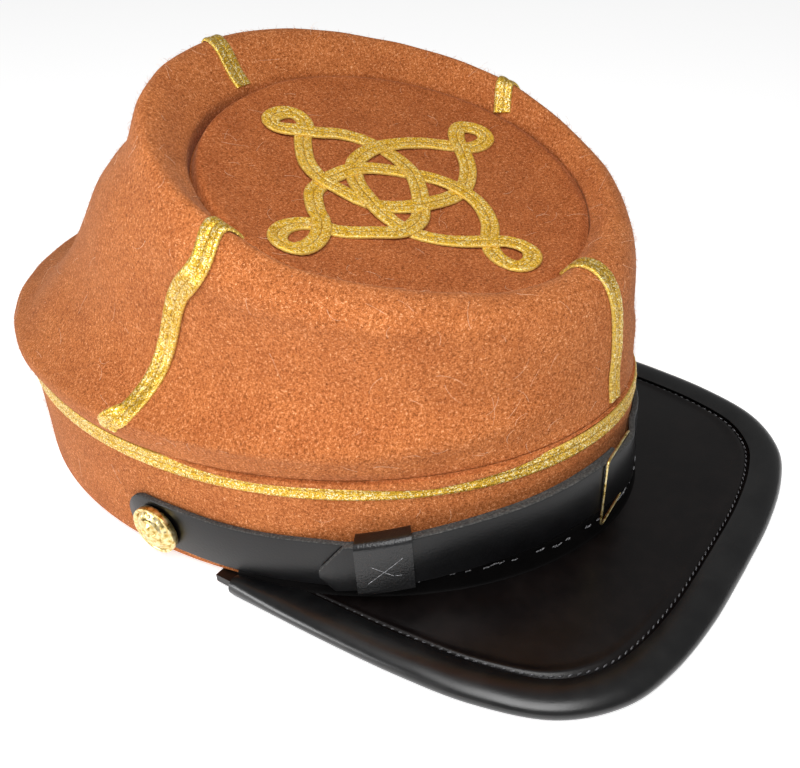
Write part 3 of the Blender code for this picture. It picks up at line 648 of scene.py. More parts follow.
def add_node(material, kind, inputs=None, stops=(), **settings):
    """Add a shader node with its settings, colour stops and sockets."""
    node = material.node_tree.nodes.new("ShaderNode" + kind)
    for name, value in settings.items():
        setattr(node, name, value)
    while stops and len(node.color_ramp.elements) < len(stops):
        node.color_ramp.elements.new(0.5)
    for index, (position, tone) in enumerate(stops):
        node.color_ramp.elements[index].position = position
        node.color_ramp.elements[index].color = linear(tone)
    fill_sockets(node, inputs or {})
    return node


def start_material(name, **sockets):
    """A Principled material with its constant sockets set, its shader node, the function that
    adds nodes to it, and the place on the piece that its patterns read."""
    material = bpy.data.materials.new(name)
    material.use_nodes = True
    shader = material.node_tree.nodes["Principled BSDF"]
    fill_sockets(shader, {socket.replace("_", " "): value for socket, value in sockets.items()})
    node = partial(add_node, material)
    return material, shader, node, node("TexCoord").outputs["Object"]


def felted_wool(name, *tones):
    """Fulled and napped wool broadcloth: no weave shows, only short hairs crossing every way,
    paler than the ground they lie on, and a soft sheen at grazing angles."""
    material, shader, node, place = start_material(
        name, Roughness=0.95, Sheen_Weight=0.1, Sheen_Roughness=0.4,
        Sheen_Tint=linear("#ffd2b0"), Specular_IOR_Level=0.2)
    layers = []
    for patch, shift in WOOL_HAIR_LAYERS:
        moved = node("Mapping", {"Location": (shift,) * 3, "Vector": place})
        patches = node("TexVoronoi", {"Scale": 1 / patch, "Vector": moved}, feature="F1")
        turn = node("VectorMath", {"Scale": tau, 0: patches.outputs["Color"]}, operation="SCALE")
        turned = node("VectorRotate", {"Vector": place, "Rotation": turn}, rotation_type="EULER_XYZ")
        stretched = node("Mapping", {
            "Scale": (1 / WOOL_HAIR_WIDTH, 1 / WOOL_HAIR_WIDTH, 1 / WOOL_HAIR_LENGTH), "Vector": turned})
        layers.append(node(
            "TexNoise", {"Scale": 1.0, "Detail": 1.5, "Roughness": 0.6, "Vector": stretched}))
    hairs = node("Math", {0: layers[0], 1: layers[1]}, operation="MAXIMUM")
    tufts = node("TexNoise", {
        "Scale": 1 / WOOL_TUFT_SIZE, "Detail": 3.0, "Roughness": 0.75, "Vector": place})
    mixed = node("Mix", {"Factor": 0.5, "A": hairs, "B": tufts}, data_type="FLOAT")
    ground = node("ValToRGB", {"Fac": mixed}, list(zip(WOOL_STOPS, tones)))
    clouds = node("TexNoise", {
        "Scale": 1 / WOOL_DYE_CLOUD, "Detail": 4.0, "Roughness": 0.6, "Vector": place})
    cloud_tone = node("ValToRGB", {"Fac": clouds}, ((0.32, "#e6dcd6"), (0.66, "#ffffff")))
    dyed = node(
        "Mix", {"Factor": 0.75, "A": ground, "B": cloud_tone},
        data_type="RGBA", blend_type="MULTIPLY")
    bump = node("Bump", {"Strength": 0.6, "Distance": 0.3 * MM, "Height": mixed})
    fill_sockets(shader, {"Base Color": dyed, "Normal": bump})
    return material


def tinsel_braid(name, metallic, valley_shade_depth, *tones):
    """Flat braid of gold-wrapped thread: bright metal wound in slanting turns, each turn painted with
    its own glint, a painted highlight, with painted shade in the valleys between the cords and a
    painted highlight along both edges. The knot's braid is the same, painted brighter and yellower
    as painted light, with deeper painted valley shade."""
    material, shader, node, place = start_material(name, Metallic=metallic, Specular_IOR_Level=0.5)
    surface = node("UVMap", uv_map="surface")
    parts = node("SeparateXYZ", {"Vector": surface})
    along, across = parts.outputs["X"], parts.outputs["Y"]
    # The turns slant one way on each cord of a pair
    turns = node("Math", {0: along, 1: 1 / THREAD_TURN}, operation="MULTIPLY")
    slant = node("Math", {0: across, 1: 1.0}, operation="PINGPONG")
    slanted = node("Math", {0: slant, 1: 1.15, 2: turns}, operation="MULTIPLY_ADD")
    turn_number = node("Math", {0: slanted}, operation="FLOOR")
    cord_number = node("Math", {0: across}, operation="FLOOR")
    both = node("CombineXYZ", {"X": turn_number, "Y": cord_number})
    each = node("TexWhiteNoise", {"Vector": both}, noise_dimensions="3D")
    # Painted glints of single windings: a painted highlight in the base colour
    glints = node("TexVoronoi", {"Scale": 1 / GLINT_SIZE, "Vector": place}, feature="F1")
    glint_parts = node("SeparateXYZ", {"Vector": glints.outputs["Color"]})
    mixed = node("Math", {0: each, 1: 0.25, 2: glint_parts.outputs["X"]}, operation="MULTIPLY_ADD")
    colour = node("ValToRGB", {"Fac": mixed}, list(zip(TINSEL_STOPS, tones)))
    thread = node("Math", {0: slanted}, operation="FRACT")
    thread_round = node("Math", {0: thread, 1: 0.5}, operation="PINGPONG")
    # Painted shade along the valley between the cord pairs; it wanders and is bridged by loose windings
    wander = node("TexNoise", {"Scale": 1 / VALLEY_WANDER, "Detail": 2.0, "Vector": place})
    wandering = node("Math", {0: wander, 1: 0.3, 2: across}, operation="MULTIPLY_ADD")
    centred = node("Math", {0: wandering, 1: 0.15}, operation="SUBTRACT")
    valley = node("Math", {0: centred, 1: 1.0}, operation="PINGPONG")
    painted_valley_shade = node("ValToRGB", {"Fac": valley}, ((0.0, "#987c38"), (0.2, "#ffffff")))
    shaded = node(
        "Mix", {"Factor": valley_shade_depth, "A": colour, "B": painted_valley_shade},
        data_type="RGBA", blend_type="MULTIPLY")
    # A painted highlight along both edges, where the edge cords catch the light
    from_middle = node("Math", {0: across, 1: BRAID_CORDS / 2}, operation="SUBTRACT")
    outness = node("Math", {0: from_middle}, operation="ABSOLUTE")
    edge_highlight = node("MapRange", {"Value": outness, "From Min": 1.72, "From Max": 1.9, "To Max": 0.6})
    edge_highlighted = node("Mix", {"Factor": edge_highlight, "A": shaded, "B": linear("#f2cf66")}, data_type="RGBA")
    gloss = node("MapRange", {"Value": glint_parts.outputs["Y"], "To Min": 0.52, "To Max": 0.24})
    height = node("Math", {0: glint_parts.outputs["X"], 1: 0.5, 2: thread_round}, operation="MULTIPLY_ADD")
    bump = node("Bump", {"Strength": 0.7, "Distance": 0.16 * MM, "Height": height})
    fill_sockets(shader, {"Base Color": edge_highlighted, "Roughness": gloss, "Normal": bump})
    return material


def finished_leather(name, tone, worn_tone, roughness, grain, grain_depth, gloss_level):
    """Cowhide with a pigmented black finish: fine pebbled grain, a satin face that varies
    with handling, and a slight brown cast where the finish is thin."""
    material, shader, node, place = start_material(name, Specular_IOR_Level=gloss_level)
    pebbles = node(
        "TexVoronoi", {"Scale": 1 / (grain * MM), "Randomness": 1.0, "Vector": place},
        feature="SMOOTH_F1")
    handling = node("TexNoise", {
        "Scale": 1 / LEATHER_HANDLING, "Detail": 5.0, "Roughness": 0.62, "Vector": place})
    pores = node("TexNoise", {"Scale": 1 / LEATHER_PORE, "Detail": 2.0, "Vector": place})
    colour = node("ValToRGB", {"Fac": handling}, ((0.4, tone), (0.68, worn_tone)))
    gloss = node("MapRange", {"Value": handling, "To Min": roughness - 0.05, "To Max": roughness + 0.1})
    height = node("Math", {0: pores, 1: 0.4, 2: pebbles}, operation="MULTIPLY_ADD")
    bump = node("Bump", {"Strength": 0.5, "Distance": grain_depth * MM, "Height": height})
    fill_sockets(shader, {"Base Color": colour, "Roughness": gloss, "Normal": bump})
    return material


def raw_leather_edge():
    """The cut edge of black cowhide: the fibrous grey middle of the hide, hardly dyed."""
    material, shader, node, place = start_material(
        "raw_leather_edge", Roughness=0.8, Specular_IOR_Level=0.3)
    fibres = node("TexNoise", {"Scale": 1 / HIDE_FIBRE, "Detail": 4.0, "Vector": place})
    colour = node("ValToRGB", {"Fac": fibres}, ((0.32, "#2a2a2a"), (0.52, "#3f3f3e"), (0.75, "#5b5a58")))
    bump = node("Bump", {"Strength": 0.6, "Distance": 0.2 * MM, "Height": fibres})
    fill_sockets(shader, {"Base Color": colour, "Normal": bump})
    return material


def stamped_brass():
    """Stamped and lacquered brass: pale yellow metal, softly polished, its tone and polish varying at
    random.
    """
    material, shader, node, place = start_material("stamped_brass", Metallic=1.0)
    wear = node("TexNoise", {"Scale": 1 / BRASS_WEAR, "Detail": 4.0, "Vector": place})
    colour = node("ValToRGB", {"Fac": wear}, ((0.34, "#a88b45"), (0.46, "#d6bd7c"), (0.62, "#eddcab")))
    gloss = node("MapRange", {"Value": wear, "To Min": 0.2, "To Max": 0.4})
    fill_sockets(shader, {"Base Color": colour, "Roughness": gloss})
    return material


def fine_fibre(name, tone, pale_tone):
    """Waxed linen thread laid in two plies, or a single wool hair: both have a dull sheen and
    vary a little in tone along their length."""
    material, shader, node, place = start_material(name, Roughness=0.5, Specular_IOR_Level=0.5)
    plies = node("TexNoise", {"Scale": 1 / FIBRE_PLY, "Detail": 2.0, "Vector": place})
    colour = node("ValToRGB", {"Fac": plies}, ((0.35, tone), (0.65, pale_tone)))
    fill_sockets(shader, {"Base Color": colour})
    return material


# Wool pieces

def build_crown(wool):
    """The soft side wall: hem, overhang, rolled rim and the seam's turned-in edge."""
    outer = [(step / LEVEL_STEPS, 0.0, 0.0) for step in range(SEAM_LEVEL * LEVEL_STEPS + 1)]
    seam = [(SEAM_LEVEL, 0.0, 0.9 * MM), (SEAM_LEVEL, 0.0, SEAM_ALLOWANCE),
            (SEAM_LEVEL, WOOL_THICKNESS, SEAM_ALLOWANCE)]
    inner = [(step / INNER_LEVEL_STEPS, WOOL_THICKNESS, 0.0)
             for step in range(SEAM_LEVEL * INNER_LEVEL_STEPS, -1, -1)]
    hem = [(0.0, WOOL_THICKNESS * 0.75, 0.4 * MM), (0.0, WOOL_THICKNESS * 0.3, 0.35 * MM)]
    rings = []
    for level, depth, drop in outer + seam + inner + hem:
        rings.append([
            crown_surface(360.0 * column / CROWN_COLUMNS, level, -depth)[0] - UP * drop
            for column in range(CROWN_COLUMNS)])
    rows = len(rings)
    bm, _ = wrapped_grid(
        CROWN_COLUMNS, rows, lambda column, row: rings[row % rows][column % CROWN_COLUMNS])
    return finish_mesh("wool_crown", bm, [wool], ["crown"])


def build_disc(wool):
    """The recessed disc, its edge dipping into the seam all round."""
    reach_x = SEAM_HALF_WIDTH - DISC_SEAM_GAP
    reach_y = SEAM_HALF_LENGTH - DISC_SEAM_GAP
    rows = 2 * DISC_RINGS + 2

    def place(column, row):
        angle = tau * column / DISC_COLUMNS
        share = 1.0 - max(0.0, 1.0 - min(row, rows - row) / DISC_RINGS) ** 1.5
        point = disc_surface(
            reach_x * share * cos(angle), SEAM_MIDDLE_Y + reach_y * share * sin(angle))
        dip = exp(-((1.0 - share) * reach_x / DISC_DIP_REACH) ** 2)
        deeper = ease((cos(angle - radians(DISC_DEEP_ANGLE)) - 0.3) / 0.45)
        sunk = dip * (DISC_DIP + DISC_DEEPER_DIP * deeper)
        point.z -= sunk + (WOOL_THICKNESS if row > rows / 2 else 0.0)
        return point

    bm, _ = wrapped_grid(DISC_COLUMNS, rows, place)
    return finish_mesh("wool_crown_top", bm, [wool], ["crown_top"])


def band_lip(angle):
    """Section of the turned top: it droops over the braid on the wearer's right front."""
    edge = interpolate(LIP_EDGE, angle)
    cover = ease((LIP_TOP - edge) / 1.5)
    points = (
        (0.0, 36.1), (1.15, 36.15), (1.2, edge + 0.35), (1.3, edge + 0.05), (1.55, edge),
        (1.8, edge + 0.35), (1.8, (edge + 36.4) / 2), (1.5, 36.3),
    )
    return [(outward * cover * MM, height * MM) for outward, height in points] + [
        (0.5 * MM, 36.5 * MM), (-1.6 * MM, 36.3 * MM)]


def build_band(wool):
    """The upright band: rounded lower edge, and a turned lip along its top."""
    outer = [(-0.12 * MM, 0.12 * MM)] + [
        (0.0, BAND_HEIGHT * step / BAND_OUTER_ROWS * 0.96) for step in range(1, BAND_OUTER_ROWS + 1)]
    inner = [(-WOOL_THICKNESS, BAND_HEIGHT * step / BAND_INNER_ROWS * 0.99)
             for step in range(BAND_INNER_ROWS, 0, -1)] + [(-WOOL_THICKNESS + 0.1 * MM, 0.1 * MM)]
    hem = [(-1.6 * MM, 0.0), (-0.4 * MM, 0.0)]
    rows = len(outer + band_lip(0.0) + inner + hem)

    def place(column, row):
        angle = 360.0 * column / CROWN_COLUMNS
        outward, height = (outer + band_lip(angle) + inner + hem)[row % rows]
        free = ease(height / (6 * MM)) * ease((34.5 * MM - height) / (5 * MM))
        relief = cloth_relief(band_point(angle, 0.0, height), 22 * MM, 0.35 * MM) * free
        return band_point(angle, outward + relief, height)

    bm, _ = wrapped_grid(CROWN_COLUMNS, rows, place)
    return finish_mesh("wool_band", bm, [wool], ["band"])


# Gold braid

def braid_section(width, thickness):
    """Two pairs of cords side by side, then the flat back: (across, height, cord coordinate)."""
    steps = BRAID_CORDS * 4
    points = []
    for step in range(steps + 1):
        share = step / steps
        pair = abs(sin(tau * share)) ** 0.6
        cord = abs(sin(pi * BRAID_CORDS * share)) ** 0.7
        height = thickness * (0.56 + 0.3 * pair + 0.14 * cord)
        points.append(((share - 0.5) * width, height, share * BRAID_CORDS))
    points.append((0.5 * width, 0.0, float(BRAID_CORDS)))
    points.append((0.0, 0.0, 0.0))
    points.append((-0.5 * width, 0.0, 0.0))
    return points


def build_braid(name, path, size, gold, nodes, closed=False, seed=1):
    """A braid of a width and thickness along (point, normal) pairs, lying on its cloth."""
    width = size[0]
    section = braid_section(*size)
    around = len(section)
    columns = len(path) if closed else len(path) - 1
    travelled = [0.0]
    for (near, _), (far, _) in zip(path, path[1:] + path[:1]):
        travelled.append(travelled[-1] + (far - near).length)

    def place(column, row):
        point, normal = path[column % len(path)]
        ahead, behind = column + 1, column - 1
        if not closed:
            ahead, behind = min(ahead, columns), max(behind, 0)
        along = path[ahead % len(path)][0] - path[behind % len(path)][0]
        side = normal.cross(along).normalized()
        across, height, _ = section[row % around]
        run = travelled[column % len(path)]
        picot = PICOT_SHARE * sin(tau * run / PICOT_PITCH) * abs(across / width * 2) ** 4
        picots = 1.0 + picot
        sway = noise.noise(Vector((run / SWAY_LENGTH, seed, 0.0))) * SWAY
        dent = 1.0 + DENT_SHARE * noise.noise(Vector((run / DENT_LENGTH, across / DENT_WIDTH, seed)))
        return point + side * (across * picots + sway) + normal * (height * dent)

    bm, uv_layer = wrapped_grid(columns, around, place)
    for face in bm.faces:
        for loop in face.loops:
            column, row = round(loop[uv_layer].uv.x * columns), round(loop[uv_layer].uv.y * around)
            loop[uv_layer].uv = (travelled[column], section[min(row, around - 1)][2])
    if not closed:
        close_ends(bm)
    return finish_mesh(name, bm, [gold], nodes, 80.0)


def even_path(points, closed, spacing=BRAID_STEP):
    """The same curve with its points evenly spaced."""
    chain = points + points[:1] if closed else points
    lengths = [0.0]
    for near, far in zip(chain, chain[1:]):
        lengths.append(lengths[-1] + (far - near).length)
    count = round(lengths[-1] / spacing)
    result = []
    index = 0
    for step in range(count if closed else count + 1):
        goal = lengths[-1] * step / count
        while index < len(lengths) - 2 and lengths[index + 1] < goal:
            index += 1
        share = (goal - lengths[index]) / max(lengths[index + 1] - lengths[index], 1e-9)
        result.append(chain[index].lerp(chain[index + 1], share))
    return result


def build_band_braid(gold):
    """The braid round the top of the band, under the crown's overhang."""
    count = round(pi * (BAND_TOP_HALF_WIDTH + BAND_TOP_HALF_LENGTH) / BRAID_STEP)
    path = []
    for step in range(count):
        angle = 360.0 * step / count
        path.append((band_point(angle, 0.12 * MM, BAND_BRAID_MIDDLE), band_normal(angle)))
    return build_braid("gold_band_braid", path, BRAID_SIZE, gold, ["band_braid"], closed=True)


def build_wall_braids(gold):
    """The four upright braids, from just over the hem to the disc's seam."""
    for seed, (side, angle, foot, top, lean, top_lean, width) in enumerate(WALL_BRAIDS):
        count = WALL_BRAID_STEPS[side]
        path = []
        for step in range(count + 1):
            level = foot + (top - foot) * step / count
            leaning = angle + lean * max(0.0, 1.0 - level / FOOT_LEAN_END)
            leaning += top_lean * ease((level - TOP_LEAN_START) / TOP_LEAN_SPAN)
            path.append(crown_surface(leaning, level, 0.1 * MM))
        build_braid(
            f"gold_{side}_braid", path, (width * MM, BRAID_SIZE[1]), gold, [f"{side}_braid"], seed=seed + 2)


def knot_route():
    """The knot's one endless braid, as evenly spaced points in mm on the disc."""
    padded = KNOT_ROUTE[-2:] + KNOT_ROUTE + KNOT_ROUTE[:3]
    steps = 6
    smooth = smooth_rows(padded, steps)[2 * steps:-3 * steps + steps]
    points = [Vector((x, y)) for x, y in smooth[:-1]]
    return even_path(points, closed=True, spacing=BRAID_STEP / MM)


def crossings(route):
    """Places along a closed route where it crosses itself, as pairs of indices."""
    count = len(route)
    stride = 4
    marks = list(range(0, count, stride))
    found = []
    for first in marks:
        a, b = route[first], route[(first + stride) % count]
        for second in marks:
            if second < first + 3 * stride or first + count - second < 3 * stride:
                continue
            c, d = route[second], route[(second + stride) % count]
            turn_c, turn_d = (b - a).cross(c - a), (b - a).cross(d - a)
            turn_a, turn_b = (d - c).cross(a - c), (d - c).cross(b - c)
            if turn_c * turn_d < 0 and turn_a * turn_b < 0:
                found.append((first, second))
    return found


def knot_heights(route):
    """Lift of the braid along its route: over and under by turns."""
    count = len(route)
    visits = sorted((index, pair) for pair in crossings(route) for index in pair)
    keys = [(index, KNOT_LIFT * (order % 2)) for order, (index, _) in enumerate(visits)]
    keys = [(keys[-1][0] - count, keys[-1][1])] + keys + [(keys[0][0] + count, keys[0][1])]
    heights = []
    for index in range(count):
        for (low, low_lift), (high, high_lift) in zip(keys, keys[1:]):
            if low <= index <= high:
                share = ease((index - low) / max(high - low, 1))
                heights.append(low_lift + share * (high_lift - low_lift))
                break
    return heights


def build_knot(gold):
    """The flat knot: one endless braid in four loops, passing over and under itself."""
    route = knot_route()
    heights = knot_heights(route)
    path = []
    for point, height in zip(route, heights):
        x, y = knot_place(point.x, point.y)
        normal = disc_normal(x, y)
        path.append((disc_surface(x, y) + normal * (0.1 * MM + height), normal))
    return build_braid("gold_crown_knot", path, KNOT_BRAID_SIZE, gold, ["crown_knot"], closed=True, seed=9)


# Leather strap, keeper and brass

def strap_middle(angle):
    """Height of the strap's middle above the band's lower edge, alike on both sides."""
    return interpolate(STRAP_HEIGHT_CURVE, min(angle, other_side(angle))) * MM


def strap_standoff(angle):
    """Distance from the band to the strap's inner face."""
    return interpolate(STRAP_STANDOFF_CURVE, min(angle, other_side(angle))) * MM


def left_length_outward(angle):
    """The left length lies on the band, and climbs over the other length at the buckle."""
    climb = ease((UNDERLAP_END_ANGLE - angle) / (UNDERLAP_END_ANGLE - UNDERLAP_START_ANGLE))
    high = strap_standoff(min(angle, 270.0)) + STRAP_THICKNESS + GAP
    return 0.1 * MM + climb * (high - 0.1 * MM)


def rounded_section(low, high, radius, corner_steps=3):
    """Outline of a box section with round corners, from two corners in the plane."""
    radius = min(radius, (high[0] - low[0]) * 0.49, (high[1] - low[1]) * 0.49)
    corners = (
        (high[0] - radius, high[1] - radius, 0.0), (low[0] + radius, high[1] - radius, 90.0),
        (low[0] + radius, low[1] + radius, 180.0), (high[0] - radius, low[1] + radius, 270.0),
    )
    points = []
    for centre_x, centre_y, start in corners:
        for step in range(corner_steps + 1):
            angle = radians(start + 90.0 * step / corner_steps)
            points.append((centre_x + radius * cos(angle), centre_y + radius * sin(angle)))
    return points


def round_end_rows():
    """Rows of (angle, share of the width) over a strap's round end."""
    radius_angle = degrees(STRAP_WIDTH / 2 / BAND_HALF_LENGTH)
    rows = []
    for step in range(1, ROUND_END_ROWS + 1):
        turn = radians(90.0 * step / ROUND_END_ROWS)
        rows.append((STRAP_END_ANGLE + radius_angle * (1.0 - cos(turn)), sin(turn)))
    return rows


def stepped(start, end, step_angle=STRAP_STEP_ANGLE):
    """Even angles from start to end, both included."""
    count = max(1, round(abs(end - start) / step_angle))
    return [start + (end - start) * step / count for step in range(count + 1)]


def build_length(name, rows, outward_at, materials, node):
    """A strap length from rows of (angle, lower edge, upper edge)."""
    sections = []
    for angle, low, high in rows:
        outward = outward_at(angle)
        face = cloth_relief(band_point(angle, 0.0, 0.0), 15 * MM, 0.12 * MM)
        outline = rounded_section(
            (outward, low), (outward + STRAP_THICKNESS + face, high), STRAP_CORNER)
        sections.append([band_point(angle, *corner) for corner in outline])
    bm = skin_outlines(sections)
    tongue, tongue_end = band_tangent(TONGUE_ROWS[0][0]), band_point(TONGUE_ROWS[0][0], 0.0, 0.0)
    mark_edges(bm, lambda middle, normal: abs(normal.z) > CUT_EDGE_FACING or (
        abs(normal.dot(tongue)) > TONGUE_END_FACING
        and (middle - tongue_end).length < TONGUE_END_REACH))
    return finish_mesh(name, bm, materials, [node], 60.0)


def build_strap(leather, edge):
    """The chin strap's two lengths, from button to button."""
    right_rows = []
    ends = round_end_rows()
    for angle, share in ends + [(a, 1.0) for a in stepped(ends[-1][0], RIGHT_LENGTH_END_ANGLE)[1:]]:
        half = STRAP_WIDTH / 2 * share
        slip = STRAP_SLIP * ease((angle - STRAP_SLIP_ANGLE) / 5.0)
        right_rows.append((angle, strap_middle(angle) - half, strap_middle(angle) + half - slip))
    build_length("leather_strap_right", right_rows, strap_standoff, [leather, edge], "chin_strap_right")

    left_rows = []
    tongue = [TONGUE_ROWS[0]]
    for near, far in zip(TONGUE_ROWS, TONGUE_ROWS[1:]):
        for step in range(1, TONGUE_STEPS + 1):
            tongue.append(tuple(a + (b - a) * (step / TONGUE_STEPS) for a, b in zip(near, far)))
    for angle, low, high in tongue:
        middle = strap_middle(angle)
        left_rows.append((angle, middle + low * STRAP_WIDTH, middle + high * STRAP_WIDTH))
    last_angle = other_side(ends[-1][0])
    body = [(a, 1.0) for a in stepped(tongue[-1][0], last_angle)[1:]]
    for angle, share in body + [(other_side(a), share) for a, share in reversed(ends[:-1])]:
        half = STRAP_WIDTH / 2 * share
        left_rows.append((angle, strap_middle(angle) - half, strap_middle(angle) + half))
    build_length("leather_strap_left", left_rows, left_length_outward, [leather, edge], "chin_strap_left")


def build_keeper(leather, edge):
    """The leather loop round both lengths: rounded at its top bend, pale at its cut edges."""
    margin = GAP + KEEPER_THICKNESS
    angles = stepped(KEEPER_START_ANGLE, KEEPER_END_ANGLE, 0.5)
    loops = []
    for outer_face in (True, False):
        inset = 0.0 if outer_face else KEEPER_THICKNESS
        for angle in angles if outer_face else reversed(angles):
            middle = strap_middle(angle)
            inner_side = strap_standoff(angle)
            outer_side = inner_side + 2 * STRAP_THICKNESS + GAP
            low = (inner_side - margin + inset, middle - STRAP_WIDTH / 2 - margin + inset)
            high = (outer_side + margin - inset, middle + STRAP_WIDTH / 2 + margin - inset)
            outline = rounded_section(low, high, KEEPER_CORNER - inset * 0.8, 6)
            loops.append([band_point(angle, *corner) for corner in outline])
    bm = skin_outlines(loops, ring=True)
    first, last = band_tangent(KEEPER_START_ANGLE), band_tangent(KEEPER_END_ANGLE)
    mark_edges(bm, lambda middle, normal: (
        max(abs(normal.dot(first)), abs(normal.dot(last))) > KEEPER_EDGE_FACING))
    return finish_mesh(
        "leather_strap_keeper", bm, [leather, edge], ["strap_keeper"], 40.0)


def keeper_face(along, height):
    """A point on the keeper's outer face: share of its width, height from the strap's middle."""
    angle = KEEPER_START_ANGLE + (KEEPER_END_ANGLE - KEEPER_START_ANGLE) * along
    outward = strap_standoff(angle) + 2 * STRAP_THICKNESS + 2 * GAP + KEEPER_THICKNESS
    return band_point(angle, outward, strap_middle(angle) + height), band_normal(angle)


def scratch_point(start, end, share):
    """A point of a scratch on the keeper's face, and the direction out of it."""
    along, height = (near + (far - near) * share for near, far in zip(start, end))
    return keeper_face(along, height * MM)


def build_scratches(thread):
    """The plain scored cross on the keeper's face: two scratches and a short nick."""
    bm = bmesh.new()
    for start, end in SCRATCHES:
        run = scratch_point(start, end, 1.0)[0] - scratch_point(start, end, 0.0)[0]
        for step in range(SCRATCH_PARTS + 1):
            share = step / SCRATCH_PARTS
            point, normal = scratch_point(start, end, share)
            along = scratch_point(start, end, share + 0.1)[0] - point
            add_stitch(
                bm, point, along, normal, run.length / SCRATCH_PARTS * 1.3, SCRATCH_WIDTH, SCRATCH_HEIGHT)
    return finish_mesh("keeper_scratches", bm, [thread])


def build_buckle(brass):
    """The thin brass frame: its near bar crosses both lengths, its far bar is between them."""
    near_angle, far_angle = (
        360.0 - degrees(acos(x / BAND_HALF_WIDTH)) for x in (BUCKLE_LEFT_X, BUCKLE_RIGHT_X))
    near_out = left_length_outward(near_angle) + STRAP_THICKNESS + GAP + BUCKLE_WIRE_RADIUS
    corners = (
        band_point(near_angle, near_out, BUCKLE_BOTTOM),
        band_point(far_angle, BUCKLE_FAR_BAR_LOW, BUCKLE_BOTTOM),
        band_point(far_angle + BUCKLE_LEAN, BUCKLE_FAR_BAR_HIGH, BUCKLE_TOP),
        band_point(near_angle + BUCKLE_LEAN * 0.6, near_out, BUCKLE_TOP),
    )
    path = []
    for index, corner in enumerate(corners):
        before = (corners[index - 1] - corner).normalized() * BUCKLE_CORNER_RADIUS
        after = (corners[(index + 1) % 4] - corner).normalized() * BUCKLE_CORNER_RADIUS
        for step in range(BUCKLE_CORNER_STEPS + 1):
            share = step / BUCKLE_CORNER_STEPS
            start, end = corner + before, corner + after
            path.append(start.lerp(corner, share).lerp(corner.lerp(end, share), share))
    path = even_path(path, closed=True, spacing=BUCKLE_STEP)
    count = len(path)
    flat = (corners[1] - corners[0]).cross(corners[3] - corners[0]).normalized()

    def place(column, row):
        point = path[column % count]
        along = (path[(column + 1) % count] - path[(column - 1) % count]).normalized()
        side = along.cross(flat).normalized()
        up = side.cross(along)
        angle = tau * row / BUCKLE_WIRE_SIDES
        return point + (side * cos(angle) + up * sin(angle)) * BUCKLE_WIRE_RADIUS

    bm, _ = wrapped_grid(count, BUCKLE_WIRE_SIDES, place)
    return finish_mesh("brass_strap_buckle", bm, [brass], ["strap_buckle"], 70.0)


def button_relief(radius, angle):
    """A plain stamped design: a petalled rosette inside a ring of beads."""
    share = radius / BUTTON_RADIUS
    return sum(
        height * MM * max(0.0, cos(count * angle)) ** sharpness
        * sin(pi * (share - inner) / (outer - inner))
        for inner, outer, height, count, sharpness in BUTTON_RINGS if inner < share < outer
    )


def build_button(side, angle, brass):
    """A domed brass button with a raised rim, stamped face and shank."""
    middle = band_point(angle, 0.0, BUTTON_HEIGHT)
    outward = (band_point(angle, 1.0, BUTTON_HEIGHT) - middle).normalized()
    seat = middle + outward * (GAP + STRAP_THICKNESS + GAP)
    placement = Matrix.Translation(seat) @ outward.to_track_quat("Z", "Y").to_matrix().to_4x4()
    rim_top = BUTTON_RIM_DEPTH + BUTTON_RIM_RAISE
    back = [
        (0.0, -SHANK_LENGTH), (SHANK_RADIUS, -SHANK_LENGTH), (SHANK_RADIUS, 0.0),
        (BUTTON_RADIUS * 0.86, 0.0), (BUTTON_RADIUS * 0.97, 0.25 * MM),
        (BUTTON_RADIUS, 0.8 * MM), (BUTTON_RADIUS, BUTTON_RIM_DEPTH),
        (BUTTON_RADIUS * 0.985, rim_top - 0.12 * MM), (BUTTON_RADIUS * 0.95, rim_top),
        (BUTTON_RADIUS * 0.9, rim_top - 0.04 * MM), (BUTTON_RADIUS * 0.86, rim_top - 0.3 * MM),
        (BUTTON_RADIUS * BUTTON_FACE_SHARE, BUTTON_RIM_DEPTH),
    ]
    face = []
    for step in range(1, BUTTON_FACE_ROWS + 1):
        share = 1.0 - step / BUTTON_FACE_ROWS
        dome = BUTTON_DOME_DEPTH * (1.0 - share ** 2)
        face.append((BUTTON_RADIUS * BUTTON_FACE_SHARE * share, BUTTON_RIM_DEPTH + dome))
    profile = back + face
    first_face = len(back)

    def place(column, row):
        radius, height = profile[row]
        turn = tau * column / BUTTON_STEPS
        if row >= first_face:
            height += button_relief(radius, turn)
        return placement @ Vector((radius * cos(turn), radius * sin(turn), height))

    bm, _ = wrapped_grid(BUTTON_STEPS, len(profile) - 1, place)
    return finish_mesh(f"brass_{side}_button", bm, [brass], [f"{side}_button"], 40.0)


# Peak

def peak_outline():
    """The peak's outer edge, from the wearer's right rear corner round to the left one."""
    half = smooth_rows(PEAK_OUTLINE, PEAK_STEPS)
    right = [Vector((-x * MM, y * MM)) for x, y in half]
    left = [Vector((x * MM, y * MM)) for x, y in reversed(half[:-1])]
    outline = right + left
    last = len(outline) - 1
    return [point + PEAK_SHIFT * ease(min(index, last - index) / last * 8.0)
            for index, point in enumerate(outline)]


def inward_normals(points):
    """Unit normals into the peak at each point of its outline."""
    normals = []
    for index in range(len(points)):
        along = points[min(index + 1, len(points) - 1)] - points[max(index - 1, 0)]
        along.normalize()
        normals.append(Vector((-along.y, along.x)))
    return normals


def binding_width(point):
    """Width of the binding at a point of the outline: it narrows where the band is close."""
    nearest = min(
        hypot(point.x - BAND_HALF_WIDTH * cos(radians(angle)),
                   point.y - BAND_HALF_LENGTH * sin(radians(angle)))
        for angle in range(180, 361, 2)
    )
    return min(BINDING_WIDTH, nearest - 2 * GAP)


def place_on_peak(point, height):
    """A point of the peak in the row's frame."""
    return Vector((point.x, BAND_CENTRE_Y + point.y, height))


